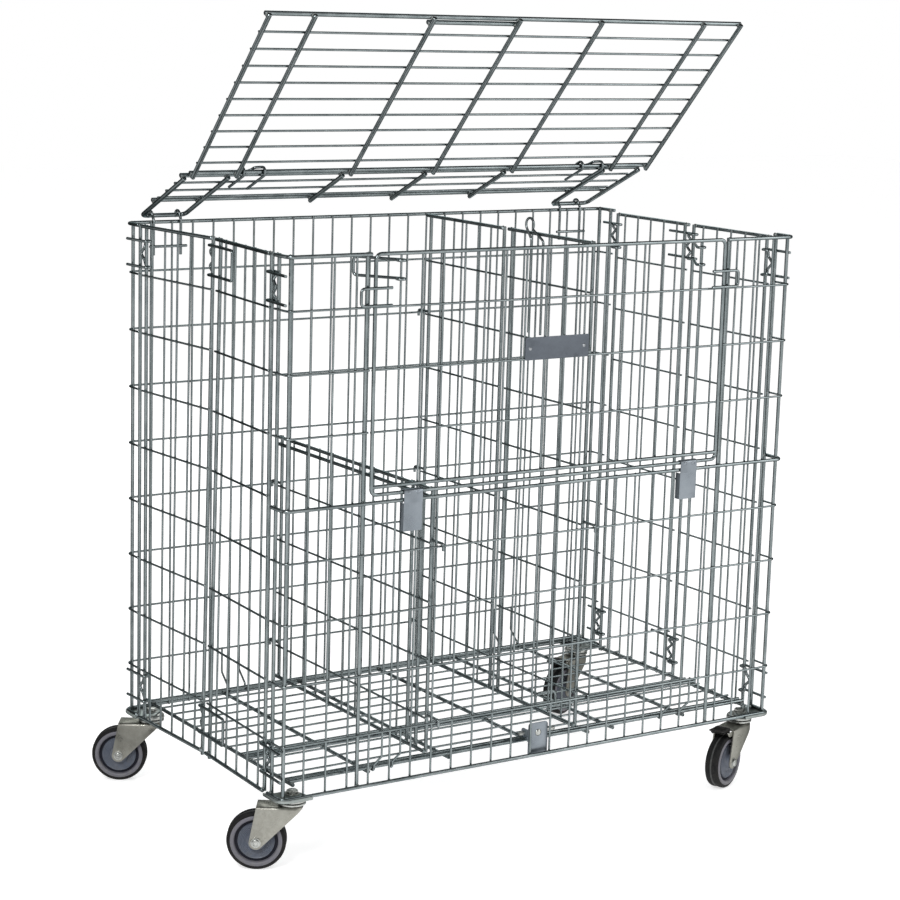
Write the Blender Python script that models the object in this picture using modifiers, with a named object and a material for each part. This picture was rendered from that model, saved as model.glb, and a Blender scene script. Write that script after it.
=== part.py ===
"""Folding wire cage trolley on four castors, with an open lid in two sections and a drop-down gate.

Metres, +Z up. The cage is laid out from the corner where its front and left weld lines meet, with
X to the right, Y to the rear and Z up from the middle of the bottom rail. A weld line is where the
level wires of a panel meet its upright wires. At the end everything moves together, so that the
origin lies on the floor under the middle of the trolley.
"""

import math

import bmesh
import bpy
import numpy as np
from mathutils import Matrix, Vector

# Wire sizes
FRAME_WIRE = 0.0065
MESH_WIRE = 0.0038
LID_FRAME_WIRE = 0.008
LID_MESH_WIRE = 0.004
CLIP_WIRE = 0.005
TOUCH = 0.0003
WELD = 0.0007
UPRIGHT_TAIL = 0.0025
LEVEL_TAIL = 0.005

# Cage
CAGE_LENGTH = 1.025
CAGE_DEPTH = 0.5665
CAGE_HEIGHT = 0.880
FIRST_LEVEL = 0.088
LEVEL_COUNT = 8
LAST_LEVEL_DROP = 0.085
LEVEL_PITCH = (CAGE_HEIGHT - LAST_LEVEL_DROP - FIRST_LEVEL) / (LEVEL_COUNT - 1)
UPRIGHT_SPACES = 25
UPRIGHT_PITCH = CAGE_LENGTH / UPRIGHT_SPACES
WELDED_EVERY = 4
RETURN_DEPTH = 0.038
CORNER_IN = 0.0065

# Places along the front keep their share of the length that they have on the photographed cage
STRETCH = CAGE_LENGTH / 1.025

# Folding sides; the left one is drawn in a little at its middle hinge, the right one hangs lower
SIDE_START = 0.062
SIDE_HINGE_GAP = 0.026
SIDE_UPRIGHTS = 5
SIDE_FIRST_UPRIGHT = 0.022
SIDE_LAST_SPACE = 0.02625
SIDE_LEAF = (CAGE_DEPTH - SIDE_HINGE_GAP) / 2 - SIDE_START
SIDE_PITCH = (SIDE_LEAF - SIDE_FIRST_UPRIGHT - SIDE_LAST_SPACE) / (SIDE_UPRIGHTS - 1)
MIDDLE_FOOT = 0.010
BOW_LOW = {"left": 0.008, "right": 0.0}
BOW_HIGH = {"left": 0.020, "right": 0.0}
SIDE_DROP = {"left": 0.0, "right": 0.006}

# Gate opening and gate
OPENING_LEFT = 0.143 * STRETCH
OPENING_HEIGHT = 0.403
FRONT_RAIL = CAGE_HEIGHT - OPENING_HEIGHT
GATE_GAP = 0.012
GATE_RAIL = FRONT_RAIL + 0.013
GATE_SECOND_RAIL = GATE_RAIL + 0.013
GATE_FIRST_UPRIGHT = 5
GATE_LEVELS_FROM = 5
STOP_REACH = 0.029
STOP_HEIGHTS = (CAGE_HEIGHT - 0.082, CAGE_HEIGHT - 0.054)

# Gate latches
LATCH_HEIGHTS = (CAGE_HEIGHT - 0.042, CAGE_HEIGHT - 0.012)
LATCH_REACH = 0.086
LATCH_SWUNG_IN = 55.0

# Gate hinge clips
CLIP_CENTRES = (0.2335 * STRETCH, 0.8075 * STRETCH)
CLIP_WIDTH = 0.037
CLIP_FOOT = FRONT_RAIL - 0.052
CLIP_SHEET = 0.0012
CLIP_FLANGE = 0.012

# Label plate
PLATE_LEFT = 0.449 * STRETCH
PLATE_SIZE = (0.131, 0.0012, 0.0385)
PLATE_LEVEL = 6
PLATE_BOTTOM = FIRST_LEVEL + PLATE_LEVEL * LEVEL_PITCH - 0.002
RIVET = 0.006

# Dividers
FULL_DIVIDER = 0.6050 * STRETCH
HALF_DIVIDER = 0.2925 * STRETCH
DIVIDER_FRONT = 0.030
DIVIDER_REAR = CAGE_DEPTH - 0.0295
DIVIDER_FOOT = 0.030
DIVIDER_UPRIGHTS = 5
HALF_DIVIDER_TOP = FRONT_RAIL + 0.006
HALF_DIVIDER_RAIL_GAP = 0.013
HALF_DIVIDER_POSTS = (0.062, 0.090)
HALF_DIVIDER_UPRIGHTS = 10
HOOK_DROP = 0.012
LOCK_RING = 0.023
LOCK_RING_AT = (0.202, CAGE_HEIGHT + 0.015)
LOCK_WIRE = 0.0045
LOCK_LEGS = (0.196, 0.160)
LOCK_FOOT = CAGE_HEIGHT - 0.175

# Floor
FLOOR_HEIGHT = 0.012
FLOOR_FRONT = 0.030
FLOOR_REAR = CAGE_DEPTH - 0.0305
FLOOR_BARS = [x * STRETCH for x in (0.036, 0.180, 0.340, 0.515, 0.635, 0.690, 0.850, 0.990)]
FLOOR_WIRES = 13
FLOOR_CROSS_RAIL = 0.170
DOUBLE_GAP = 0.012
FOOT_LOOPS = (0.352 * STRETCH, 0.622 * STRETCH)
FOOT_LOOP_SIZE = (0.045, 0.028)
HANGERS = [x * STRETCH for x in (0.190, 0.226, 0.799, 0.841)]
HANGER_BEND = 0.026
FLOOR_LOCK = 0.510 * STRETCH
LOCK_PLATE = (0.040, 0.0025, 0.058)
LOCK_BOLT = 0.013
LOCK_ROD = 0.006
LOCK_ROD_LENGTH = 0.075
LOCK_ROD_HEIGHT = 0.034
LOCK_ROD_STANDOFF = 0.013
LOCK_LUG = (0.003, 0.020, 0.016)

# Lid
PIVOT_OUT = 0.0105
PIVOT_DEPTH = CAGE_DEPTH + PIVOT_OUT
PIVOT_HEIGHT = CAGE_HEIGHT + PIVOT_OUT
LID_MARGIN = 0.0285
LID_LENGTH = CAGE_LENGTH - 2 * LID_MARGIN
LID_ARM = 0.084 * STRETCH
LID_BAY = 0.173 * STRETCH
LID_SLACK = 0.013
LID_MIDDLE = LID_LENGTH / 2
LID_STATIONS = (
    0.0, LID_ARM, LID_MIDDLE - LID_BAY, LID_MIDDLE, LID_MIDDLE + LID_BAY, LID_LENGTH - LID_ARM, LID_LENGTH,
)
REAR_RAISED = 25.4
FRONT_RAISED = 46.8
REAR_PIVOT_REACH = 0.1766
REAR_WIRES = (0.031, 0.067, 0.101)
REAR_END_RAIL = 0.118
FRONT_DEPTH = CAGE_DEPTH - 0.1945
FRONT_FIRST_WIRE = 0.027
FRONT_LAST_SPACE = 0.0386
FRONT_WIRES = 9
FRONT_WIRE_PITCH = (FRONT_DEPTH - FRONT_FIRST_WIRE - FRONT_LAST_SPACE) / (FRONT_WIRES - 1)
LID_RAIL_SPACING = 0.0100
HANDLE_SETBACK = 0.012
THIN_OVER = 0.002
LOOP_LEGS = {
    "left": (0.0455 * STRETCH, 0.0985 * STRETCH),
    "right": (CAGE_LENGTH - 0.101 * STRETCH, CAGE_LENGTH - 0.053 * STRETCH),
}
LOOP_FOOT = CAGE_HEIGHT - 0.058
LOOP_BAR = CAGE_HEIGHT - 0.042
LOOP_BAR_OVER = 0.010
LEFT_ARM = LID_MARGIN + LID_ARM
RIGHT_ARM = CAGE_LENGTH - LEFT_ARM
HINGE_WIRES = {
    "left": (LEFT_ARM + 0.0655, LEFT_ARM + 0.0355, LEFT_ARM + 0.025),
    "right": (RIGHT_ARM - 0.009, RIGHT_ARM - 0.0395, RIGHT_ARM - 0.0555),
}
HINGE_WIRE_TAILS = (0.055, 0.045)

# Hinge clips of the folding sides
FRONT_CLIP_LEGS = (CAGE_HEIGHT - 0.0745, CAGE_HEIGHT - 0.029)
REAR_CLIP_LEGS = (CAGE_HEIGHT - 0.0705, CAGE_HEIGHT - 0.0255)
BOTTOM_CLIP_LEGS = (0.0315, 0.078)
CLIP_STARTS = {"left_front": -0.006, "right_front": 0.005, "left_rear": 0.008, "right_rear": 0.008}
LEFT_MID_CLIP_NOSE = CAGE_DEPTH / 2 - 0.07525
LEFT_MID_CLIP_LEGS = (CAGE_HEIGHT - 0.0615, CAGE_HEIGHT - 0.012)
RIGHT_MID_CLIP_END = CAGE_DEPTH / 2 + 0.06675
RIGHT_MID_CLIP_LEGS = (CAGE_HEIGHT - 0.068, CAGE_HEIGHT - 0.022)

# Castors
FRONT_STEM = (0.037, 0.030)
REAR_STEM = (0.035, 0.024)
WHEEL_DIAMETER = 0.100
WHEEL_WIDTH = 0.030
WHEEL_SIDES = 20
HUB_DIAMETER = 0.026
AXLE = 0.008
AXLE_DROP = 0.0825
TRAIL = 0.057
FORK_WIDTH = 0.042
FORK_SHEET = 0.0025
HEAD_DIAMETER = 0.047
HEAD_HEIGHT = 0.015
STEM = 0.012
PLATE_SHEET = 0.0025
PLATE_SIDES = (0.062, 0.054)
PLATE_LIP = 0.009
CASTORS = {
    "front_left": (0, 0, 146.4),
    "front_right": (1, 0, 202.5),
    "rear_left": (0, 1, 146.4),
    "rear_right": (1, 1, 202.5),
}
BRAKED = ("front_right", "rear_right")
PEDAL_SIZE = (0.036, 0.026, 0.006)
PEDAL_PIVOT = (0.003, 0.002)


def ridge(diameter, sides):
    """Corner radius of the many-sided wire that has the section area of a round one."""
    area = math.pi * diameter**2 / 4
    return math.sqrt(2 * area / (sides * math.sin(2 * math.pi / sides)))


FRAME = ridge(FRAME_WIRE, 6)
MESH = ridge(MESH_WIRE, 4)
LID_FRAME = ridge(LID_FRAME_WIRE, 6)
LID_MESH = ridge(LID_MESH_WIRE, 4)
CLIP = ridge(CLIP_WIRE, 4)
LEVELS = [FIRST_LEVEL + LEVEL_PITCH * i for i in range(LEVEL_COUNT)]
FLOOR_RAIL_HEIGHT = FLOOR_HEIGHT + 2 * FRAME - WELD

# Depths inwards from a panel's weld line
UPRIGHT_IN = MESH - WELD / 2
POST_IN = FRAME - 1.5 * WELD - TOUCH
POST_FACE_OUT = FRAME - POST_IN
POST_BACK_IN = POST_IN + FRAME
POST_HALF = FRAME * math.cos(math.radians(30))

# A sharp bend draws a wire's section in, so a bent clip may lie this much closer than a straight one
CLIP_REACH = CLIP * (1 + math.cos(math.radians(45))) / 2 + TOUCH
SIDE_FACING = math.radians(90)
BEND_FACING = math.radians(45)

parts = bpy.data.collections.new("storage_trolley")
weld_shapes = bpy.data.collections.new("weld_shapes")


def welded_out(radius):
    """How far outside the weld line the centre of a level wire lies where the uprights are welded."""
    return radius - WELD / 2


def passing_out(radius):
    """The same for a level wire that passes the thin uprights and is welded to the posts alone."""
    return radius + WELD / 2 + TOUCH


def material(name, colour, roughness, metallic):
    """Principled material of one piece."""
    made = bpy.data.materials.new(name)
    made.use_nodes = True
    shader = made.node_tree.nodes["Principled BSDF"]
    shader.inputs["Base Color"].default_value = (*colour, 1.0)
    shader.inputs["Roughness"].default_value = roughness
    shader.inputs["Metallic"].default_value = metallic
    return made


def zinc(name):
    """Bright zinc-plated steel."""
    return material(name, (0.42, 0.45, 0.45), 0.38, 0.9)


def smooth(mesh):
    """Rounded sides shade smooth and edges stay sharp."""
    mesh.shade_smooth()
    mesh.set_sharp_from_angle(angle=math.radians(62))


def finish(obj, made):
    """Give a piece its material and put it among the parts."""
    obj.data.materials.clear()
    obj.data.materials.append(made)
    smooth(obj.data)
    parts.objects.link(obj)
    return obj


def tubes(name, runs, radius, sides, tilt=0.0, closed=False):
    """Object of separate wires, one along each run of points, as closed meshes."""
    data = bpy.data.curves.new(name + "_curve", "CURVE")
    data.dimensions = "3D"
    data.bevel_depth = radius
    data.bevel_resolution = sides // 2 - 2
    data.use_fill_caps = True
    for run in runs:
        spline = data.splines.new("POLY")
        spline.points.add(len(run) - 1)
        for point, place in zip(spline.points, run):
            point.co = (*place, 1.0)
            point.tilt = tilt
        spline.use_cyclic_u = closed
    curve = bpy.data.objects.new(name + "_curve", data)
    bpy.context.scene.collection.objects.link(curve)
    depsgraph = bpy.context.evaluated_depsgraph_get()
    mesh = bpy.data.meshes.new_from_object(curve.evaluated_get(depsgraph))
    obj = bpy.data.objects.new(name, mesh)
    obj.matrix_world = curve.matrix_world
    bpy.data.objects.remove(curve)
    bpy.data.curves.remove(data)
    weld_caps(mesh)
    return obj


def weld_caps(mesh):
    """Join a tube's caps to its sides and turn all faces outwards."""
    shape = bmesh.new()
    shape.from_mesh(mesh)
    bmesh.ops.remove_doubles(shape, verts=shape.verts, dist=1e-6)
    bmesh.ops.recalc_face_normals(shape, faces=shape.faces)
    shape.to_mesh(mesh)
    shape.free()


def merged(name, *objects):
    """One object of several that don't touch."""
    shape = bmesh.new()
    for obj in objects:
        shape.from_mesh(obj.data)
        bpy.data.objects.remove(obj)
    mesh = bpy.data.meshes.new(name)
    shape.to_mesh(mesh)
    shape.free()
    return bpy.data.objects.new(name, mesh)


def boolean(obj, other, operation):
    """Live Boolean with a shape that stays hidden."""
    other.name = obj.name + "_" + operation.lower() + "_shape"
    other.hide_render = True
    other.display_type = "WIRE"
    weld_shapes.objects.link(other)
    other.parent = obj
    other.matrix_parent_inverse = obj.matrix_basis.inverted()
    modifier = obj.modifiers.new(operation.title(), "BOOLEAN")
    modifier.operation = operation
    modifier.solver = "EXACT"
    modifier.object = other


def welded(name, made, base, *others):
    """One piece of wires that are welded where they cross."""
    base.name = name
    for other in others:
        boolean(base, other, "UNION")
    return finish(base, made)


def pivot(name, place):
    """Empty on a joint's axis."""
    empty = bpy.data.objects.new(name, None)
    empty.location = place
    empty.empty_display_size = 0.03
    parts.objects.link(empty)
    return empty


def carry(parent, *children):
    """Parent pieces to an empty without moving them."""
    bpy.context.view_layer.update()
    for child in children:
        child.parent = parent
        child.matrix_parent_inverse = parent.matrix_world.inverted()


def mirror_x(x):
    """The same place seen from the right side of the cage."""
    return CAGE_LENGTH - x


def bow(side, depth, height, half=None):
    """How far a folding side is drawn in; a half's own wires run on past its ends."""
    drawn = BOW_LOW[side] + (BOW_HIGH[side] - BOW_LOW[side]) * height / CAGE_HEIGHT
    from_front = (depth - SIDE_START) / SIDE_LEAF
    from_rear = (CAGE_DEPTH - SIDE_START - depth) / SIDE_LEAF
    if half == "front":
        return drawn * from_front
    if half == "rear":
        return drawn * from_rear
    return drawn * min(max(min(from_front, from_rear), 0.0), 1.0)


def side_point(side, out, depth, height, half=None):
    """Point on a folding side, this far outside its weld line."""
    x = bow(side, depth, height, half) - out
    return (x if side == "left" else mirror_x(x), depth, height)


def bend(radius, out):
    """How far from the corner of its centre lines a wrapped wire starts to turn."""
    reach = FRAME + radius - WELD
    return 2 * CORNER_IN - reach * math.sqrt(2) + 2 * out


def wrapped_run(face, radius, out, height, left=None, right=None):
    """Level wire of the front or rear panel, turned back along the sides unless it ends at left or right."""
    line, outward = (0.0, -1) if face == "front" else (CAGE_DEPTH, 1)
    turn = bend(radius, out)
    end = line - outward * (RETURN_DEPTH + LEVEL_TAIL)
    near = line + outward * (out - turn)
    far = line + outward * out
    run = [(left, far, height)]
    if left is None:
        run = [(-out, end, height), (-out, near, height), (turn - out, far, height)]
    if right is None:
        return run + [
            (mirror_x(turn - out), far, height),
            (mirror_x(-out), near, height),
            (mirror_x(-out), end, height),
        ]
    return run + [(right, far, height)]


def level_out(index):
    """Whether this level's wire is welded to every upright, as an offset from the weld line."""
    return welded_out(MESH) if index % WELDED_EVERY == 0 else passing_out(MESH)


def corner_posts(name, face):
    """Thick posts inside the two bends of the front or rear panel, turned towards the bend."""
    line, outward = (0.0, -1) if face == "front" else (CAGE_DEPTH, 1)
    depth = line - outward * CORNER_IN
    posts = []
    for x in (CORNER_IN, mirror_x(CORNER_IN)):
        turned = BEND_FACING if (x < CAGE_LENGTH / 2) == (face == "front") else -BEND_FACING
        posts.append(tubes(name, [upright(x, depth)], FRAME, 6, turned))
    return posts


def upright(x, depth, low=0.0, high=CAGE_HEIGHT):
    """Upright wire between two rails, just past the middle of each."""
    return [(x, depth, low - UPRIGHT_TAIL), (x, depth, high + UPRIGHT_TAIL)]


def return_posts(name, face):
    """Thick posts at the ends of the parts that are turned back along the sides."""
    line, outward = (0.0, -1) if face == "front" else (CAGE_DEPTH, 1)
    depth = line - outward * RETURN_DEPTH
    return tubes(name, [upright(x, depth) for x in (POST_IN, mirror_x(POST_IN))], FRAME, 6)


def rear_panel():
    """Rear panel, full height, turned back at both ends."""
    rails = [wrapped_run("rear", FRAME, welded_out(FRAME), z) for z in (0.0, CAGE_HEIGHT)]
    levels = [wrapped_run("rear", MESH, level_out(i), z) for i, z in enumerate(LEVELS)]
    depth = CAGE_DEPTH - UPRIGHT_IN
    thin = [upright(UPRIGHT_PITCH * i, depth) for i in range(1, UPRIGHT_SPACES)]
    across = merged("levels", tubes("rails", rails, FRAME, 6), tubes("levels", levels, MESH, 4))
    up = merged(
        "uprights",
        tubes("thin", thin + hangers("rear"), MESH, 4),
        return_posts("returns", "rear"),
        *corner_posts("corners", "rear"),
    )
    return welded("rear_panel", zinc("rear_panel_zinc"), across, up)


def hangers(face):
    """Wires that drop from the first level and hook under the floor's end rail."""
    line, inward = (0.0, 1) if face == "front" else (CAGE_DEPTH, -1)
    rail = FLOOR_FRONT if face == "front" else FLOOR_REAR
    clear = FRAME + MESH + TOUCH
    start = line + inward * UPRIGHT_IN
    near = rail - inward * clear
    return [
        [
            (x, start, FIRST_LEVEL + UPRIGHT_TAIL),
            (x, start, FLOOR_RAIL_HEIGHT + HANGER_BEND),
            (x, near, FLOOR_RAIL_HEIGHT + clear),
            (x, near, FLOOR_RAIL_HEIGHT - clear / 2),
            (x, rail, FLOOR_RAIL_HEIGHT - clear),
            (x, rail + inward * clear * 0.6, FLOOR_RAIL_HEIGHT - clear * 0.95),
        ]
        for x in HANGERS
    ]


def front_panel():
    """Front panel: a lower half, and a column at each side of the gate."""
    opening_right = mirror_x(OPENING_LEFT)
    out = welded_out(FRAME)
    rails = [
        wrapped_run("front", FRAME, out, 0.0),
        wrapped_run("front", FRAME, out, FRONT_RAIL),
        wrapped_run("front", FRAME, out, CAGE_HEIGHT, right=OPENING_LEFT + LEVEL_TAIL),
        wrapped_run("front", FRAME, out, CAGE_HEIGHT, left=opening_right - LEVEL_TAIL),
    ]
    levels = []
    for i, z in enumerate(LEVELS):
        if z < FRONT_RAIL - FRAME_WIRE:
            levels.append(wrapped_run("front", MESH, level_out(i), z))
        elif i >= GATE_LEVELS_FROM:
            levels.append(wrapped_run("front", MESH, level_out(i), z, right=OPENING_LEFT + LEVEL_TAIL))
            levels.append(wrapped_run("front", MESH, level_out(i), z, left=opening_right - LEVEL_TAIL))
    thin = []
    for i in range(1, UPRIGHT_SPACES):
        x = UPRIGHT_PITCH * i
        top = FRONT_RAIL if OPENING_LEFT < x < opening_right else CAGE_HEIGHT
        thin.append(upright(x, UPRIGHT_IN, high=top))
    gateposts = [upright(x, POST_IN) for x in (OPENING_LEFT, opening_right)]
    across = merged("levels", tubes("rails", rails, FRAME, 6), tubes("levels", levels, MESH, 4))
    up = merged(
        "uprights",
        tubes("thin", thin + hangers("front"), MESH, 4),
        tubes("gateposts", gateposts, FRAME, 6, SIDE_FACING),
        return_posts("returns", "front"),
        *corner_posts("corners", "front"),
    )
    return welded("front_panel", zinc("front_panel_zinc"), across, up)


def side_half(side, half):
    """One leaf of a folding side, between a corner hinge and the middle one."""
    drop = SIDE_DROP[side]
    middle = (CAGE_DEPTH - SIDE_HINGE_GAP) / 2

    def depth(along):
        """Depth in the cage of a place this far along the side from the nearer end of the cage."""
        return along if half == "front" else CAGE_DEPTH - along

    def row(out, height):
        ends = (SIDE_START - LEVEL_TAIL, middle + LEVEL_TAIL)
        return [side_point(side, out, depth(along), height - drop, half) for along in ends]

    def column(inward, along, foot=UPRIGHT_TAIL):
        ends = (-foot - drop, CAGE_HEIGHT + UPRIGHT_TAIL - drop)
        return [side_point(side, -inward, depth(along), height, half) for height in ends]

    rails = [row(welded_out(FRAME), z) for z in (0.0, CAGE_HEIGHT)]
    levels = [row(level_out(i), z) for i, z in enumerate(LEVELS)]
    first = SIDE_START + SIDE_FIRST_UPRIGHT
    thin = [column(UPRIGHT_IN, first + SIDE_PITCH * i) for i in range(SIDE_UPRIGHTS)]
    posts = [column(POST_IN, SIDE_START), column(POST_IN, middle, MIDDLE_FOOT)]
    name = f"{side}_side_{half}_half"
    across = merged("levels", tubes("rails", rails, FRAME, 6), tubes("levels", levels, MESH, 4))
    up = merged("uprights", tubes("thin", thin, MESH, 4), tubes("posts", posts, FRAME, 6))
    return welded(name, zinc(name + "_zinc"), across, up)


def hinge_clip(name, side, end, legs, start, post, between):
    """Bent wire that starts outside a side, wraps one post and turns back round the zigzag beside it."""
    out = POST_FACE_OUT + CLIP_REACH
    behind = -(POST_BACK_IN + CLIP_REACH)
    past = post + POST_HALF + CLIP_REACH
    zigzag = post - between - POST_HALF - TOUCH - CLIP
    low, high = legs
    step = (high - low) / 4
    plan = [
        (out, start, high),
        (out, past, high),
        (behind, past, high),
        (behind, between, high),
        (-POST_IN, between + zigzag, high - step),
        (-POST_IN, between - zigzag, high - 2 * step),
        (-POST_IN, between + zigzag, high - 3 * step),
        (behind, between, low),
        (behind, past, low),
        (out, past, low),
        (out, start, low),
    ]
    run = [
        side_point(side, o, y if end == "front" else CAGE_DEPTH - y, z, end)
        for o, y, z in plan
    ]
    return finish(tubes(name, [run], CLIP, 4), zinc(name + "_zinc"))


def corner_clip(side, end, legs, name):
    """Clip between a side half and the part turned back from the front or rear panel."""
    between = (SIDE_START + RETURN_DEPTH) / 2
    return hinge_clip(name, side, end, legs, CLIP_STARTS[f"{side}_{end}"], SIDE_START, between)


def right_mid_clip(legs, name):
    """Clip between the two halves of the right side, with its free ends outside the rear half."""
    start = CAGE_DEPTH - RIGHT_MID_CLIP_END
    post = (CAGE_DEPTH + SIDE_HINGE_GAP) / 2
    return hinge_clip(name, "right", "rear", legs, start, post, CAGE_DEPTH / 2)


def left_mid_clip(legs, name):
    """Closed bent wire that hinges the two halves of the left side to each other."""
    out = POST_FACE_OUT + CLIP_REACH
    behind = -(POST_BACK_IN + CLIP_REACH)
    nose = LEFT_MID_CLIP_NOSE
    knee = (CAGE_DEPTH - SIDE_HINGE_GAP) / 2
    past = CAGE_DEPTH - knee + POST_HALF + TOUCH + CLIP
    sway = 2 * CLIP
    low, high = legs
    step = (high - low) / 4
    plan = [
        (out, nose, low),
        (out, nose, high),
        (out, knee, high),
        (out, past, high),
        (behind, past, high),
        (behind, past + sway, high - step),
        (behind, past, high - 2 * step),
        (behind, past + sway, high - 3 * step),
        (behind, past, low),
        (out, past, low),
        (out, knee, low),
    ]
    run = [side_point("left", o, y, z) for o, y, z in plan]
    return finish(tubes(name, [run], CLIP, 4, closed=True), zinc(name + "_zinc"))


def gate():
    """Drop-down gate: a closed frame of bent wire with a second rail, thin wires and two side stops."""
    left = OPENING_LEFT + GATE_GAP
    right = mirror_x(left)
    out = -welded_out(FRAME)
    corner = 0.008
    frame = [
        (left + corner, out, GATE_RAIL),
        (right - corner, out, GATE_RAIL),
        (right, out, GATE_RAIL + corner),
        (right, out, CAGE_HEIGHT - corner),
        (right - corner, out, CAGE_HEIGHT),
        (left + corner, out, CAGE_HEIGHT),
        (left, out, CAGE_HEIGHT - corner),
        (left, out, GATE_RAIL + corner),
    ]
    second = [(left, out + WELD / 2, GATE_SECOND_RAIL), (right, out + WELD / 2, GATE_SECOND_RAIL)]
    levels = [[(left, -passing_out(MESH), z), (right, -passing_out(MESH), z)] for z in LEVELS[GATE_LEVELS_FROM:]]
    last = UPRIGHT_SPACES - GATE_FIRST_UPRIGHT
    thin = [
        upright(UPRIGHT_PITCH * i, UPRIGHT_IN, GATE_SECOND_RAIL, CAGE_HEIGHT)
        for i in range(GATE_FIRST_UPRIGHT, last + 1)
    ]
    across = merged("levels", tubes("second", [second], FRAME, 6), tubes("levels", levels, MESH, 4))
    front = out - FRAME - CLIP + WELD
    low, high = STOP_HEIGHTS
    reach = left - STOP_REACH
    tail = left + STOP_REACH
    stops = [
        [(tail, front, low), (reach, front, low), (reach, front, high), (tail, front, high)],
        [(mirror_x(x), front, z) for x, z in ((tail, low), (reach, low), (reach, high), (tail, high))],
    ]
    piece = welded(
        "gate",
        zinc("gate_zinc"),
        tubes("frame", [frame], FRAME, 6, closed=True),
        across,
        tubes("thin", thin, MESH, 4),
        tubes("stops", stops, CLIP, 4),
    )
    carry(pivot("gate_axis", (CAGE_LENGTH / 2, out, GATE_RAIL)), piece)
    return piece


def gate_latch(side):
    """Swinging U of wire, curled round a gate upright, that passes behind the post beside the gate."""
    x = UPRIGHT_PITCH * GATE_FIRST_UPRIGHT
    eye = 1.16 * (MESH + TOUCH + CLIP)
    swung = math.radians(LATCH_SWUNG_IN)
    low, high = LATCH_HEIGHTS

    def place(along, across, height):
        """Point along the latch from its pivot, in the direction that it is swung to."""
        turned_x = x - along * math.cos(swung) + across * math.sin(swung)
        turned_y = UPRIGHT_IN + along * math.sin(swung) + across * math.cos(swung)
        return (turned_x if side == "left" else mirror_x(turned_x), turned_y, height)

    def curl(height):
        """Points round the upright, from the far side of the eye to the leg."""
        angles = [math.radians(a) for a in (-150, -90, -30, 30, 90)]
        return [place(-eye * math.cos(a), eye * math.sin(a), height) for a in angles]

    tip = LATCH_REACH
    run = curl(high) + [place(tip, eye, high), place(tip, eye, low)] + curl(low)[::-1]
    name = f"gate_latch_{side}"
    piece = finish(tubes(name, [run], CLIP, 4), zinc(name + "_zinc"))
    at = place(0.0, 0.0, (low + high) / 2)
    carry(pivot(name + "_axis", at), piece)
    return piece


def bore(radius, sides):
    """Corner radius of a many-sided hole that clears a round bar at its flats."""
    return (radius + TOUCH) / math.cos(math.pi / sides)


def sheet_box(name, size, centre):
    """Box of this size."""
    bpy.ops.mesh.primitive_cube_add(size=1.0, location=centre)
    obj = bpy.context.object
    obj.name = name
    obj.data.transform(Matrix.Diagonal((*size, 1.0)))
    for collection in obj.users_collection:
        collection.objects.unlink(obj)
    return obj


def rod(name, radius, depth, centre, axis="Z", sides=12):
    """Solid round bar along an axis."""
    turn = {"X": (0.0, math.pi / 2, 0.0), "Y": (math.pi / 2, 0.0, 0.0), "Z": (0.0, 0.0, 0.0)}[axis]
    bpy.ops.mesh.primitive_cylinder_add(
        vertices=sides, radius=radius, depth=depth, location=centre, rotation=turn
    )
    obj = bpy.context.object
    obj.name = name
    for collection in obj.users_collection:
        collection.objects.unlink(obj)
    return obj


def gate_hinge_clip(name, centre):
    """Folded sheet that wraps the gate's lower rail and hangs in front of the front rail, with two flanges."""
    rail_out = -welded_out(FRAME)
    wrap = FRAME + TOUCH + CLIP_SHEET / 2
    front = rail_out - wrap
    profile = [(front, CLIP_FOOT), (front, FRONT_RAIL - FRAME - 0.002)]
    for angle in range(180, -61, -30):
        a = math.radians(angle)
        profile.append((rail_out - wrap * math.cos(math.pi - a), GATE_RAIL + wrap * math.sin(a)))
    shape = bmesh.new()
    half = CLIP_WIDTH / 2 - CLIP_SHEET / 2
    left = [shape.verts.new((centre - half, y, z)) for y, z in profile]
    right = [shape.verts.new((centre + half, y, z)) for y, z in profile]
    for i in range(len(profile) - 1):
        shape.faces.new((left[i], left[i + 1], right[i + 1], right[i]))
    for column, x in ((left, centre - half), (right, centre + half)):
        low = shape.verts.new((x, front + CLIP_FLANGE, CLIP_FOOT))
        high = shape.verts.new((x, front + CLIP_FLANGE, profile[1][1]))
        corners = (column[0], low, high, column[1])
        shape.faces.new(corners if column is left else corners[::-1])
    bmesh.ops.recalc_face_normals(shape, faces=shape.faces)
    mesh = bpy.data.meshes.new(name)
    shape.to_mesh(mesh)
    shape.free()
    obj = bpy.data.objects.new(name, mesh)
    sheet = obj.modifiers.new("Sheet", "SOLIDIFY")
    sheet.thickness = CLIP_SHEET
    sheet.offset = 0.0
    sheet.use_even_offset = True
    return finish(obj, material(name + "_zinc", (0.55, 0.57, 0.60), 0.35, 0.85))


def label_plate():
    """Blank plate riveted to the front of the gate."""
    length, thickness, height = PLATE_SIZE
    back = -(welded_out(MESH) + MESH + WELD + TOUCH * 2)
    centre = (PLATE_LEFT + length / 2, back - thickness / 2, PLATE_BOTTOM + height / 2)
    plate = sheet_box("label_plate", PLATE_SIZE, centre)
    inset = 0.010
    rivets = [
        rod("rivet", RIVET / 2, 0.002, (x, back - thickness, centre[2]), "Y", 8)
        for x in (PLATE_LEFT + inset, PLATE_LEFT + length - inset)
    ]
    for rivet in rivets:
        rivet.data.transform(rivet.matrix_basis)
        rivet.matrix_basis = Matrix()
    boolean(plate, merged("rivets", *rivets), "UNION")
    return finish(plate, material("plate_metal", (0.72, 0.74, 0.75), 0.45, 0.6))


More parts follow.
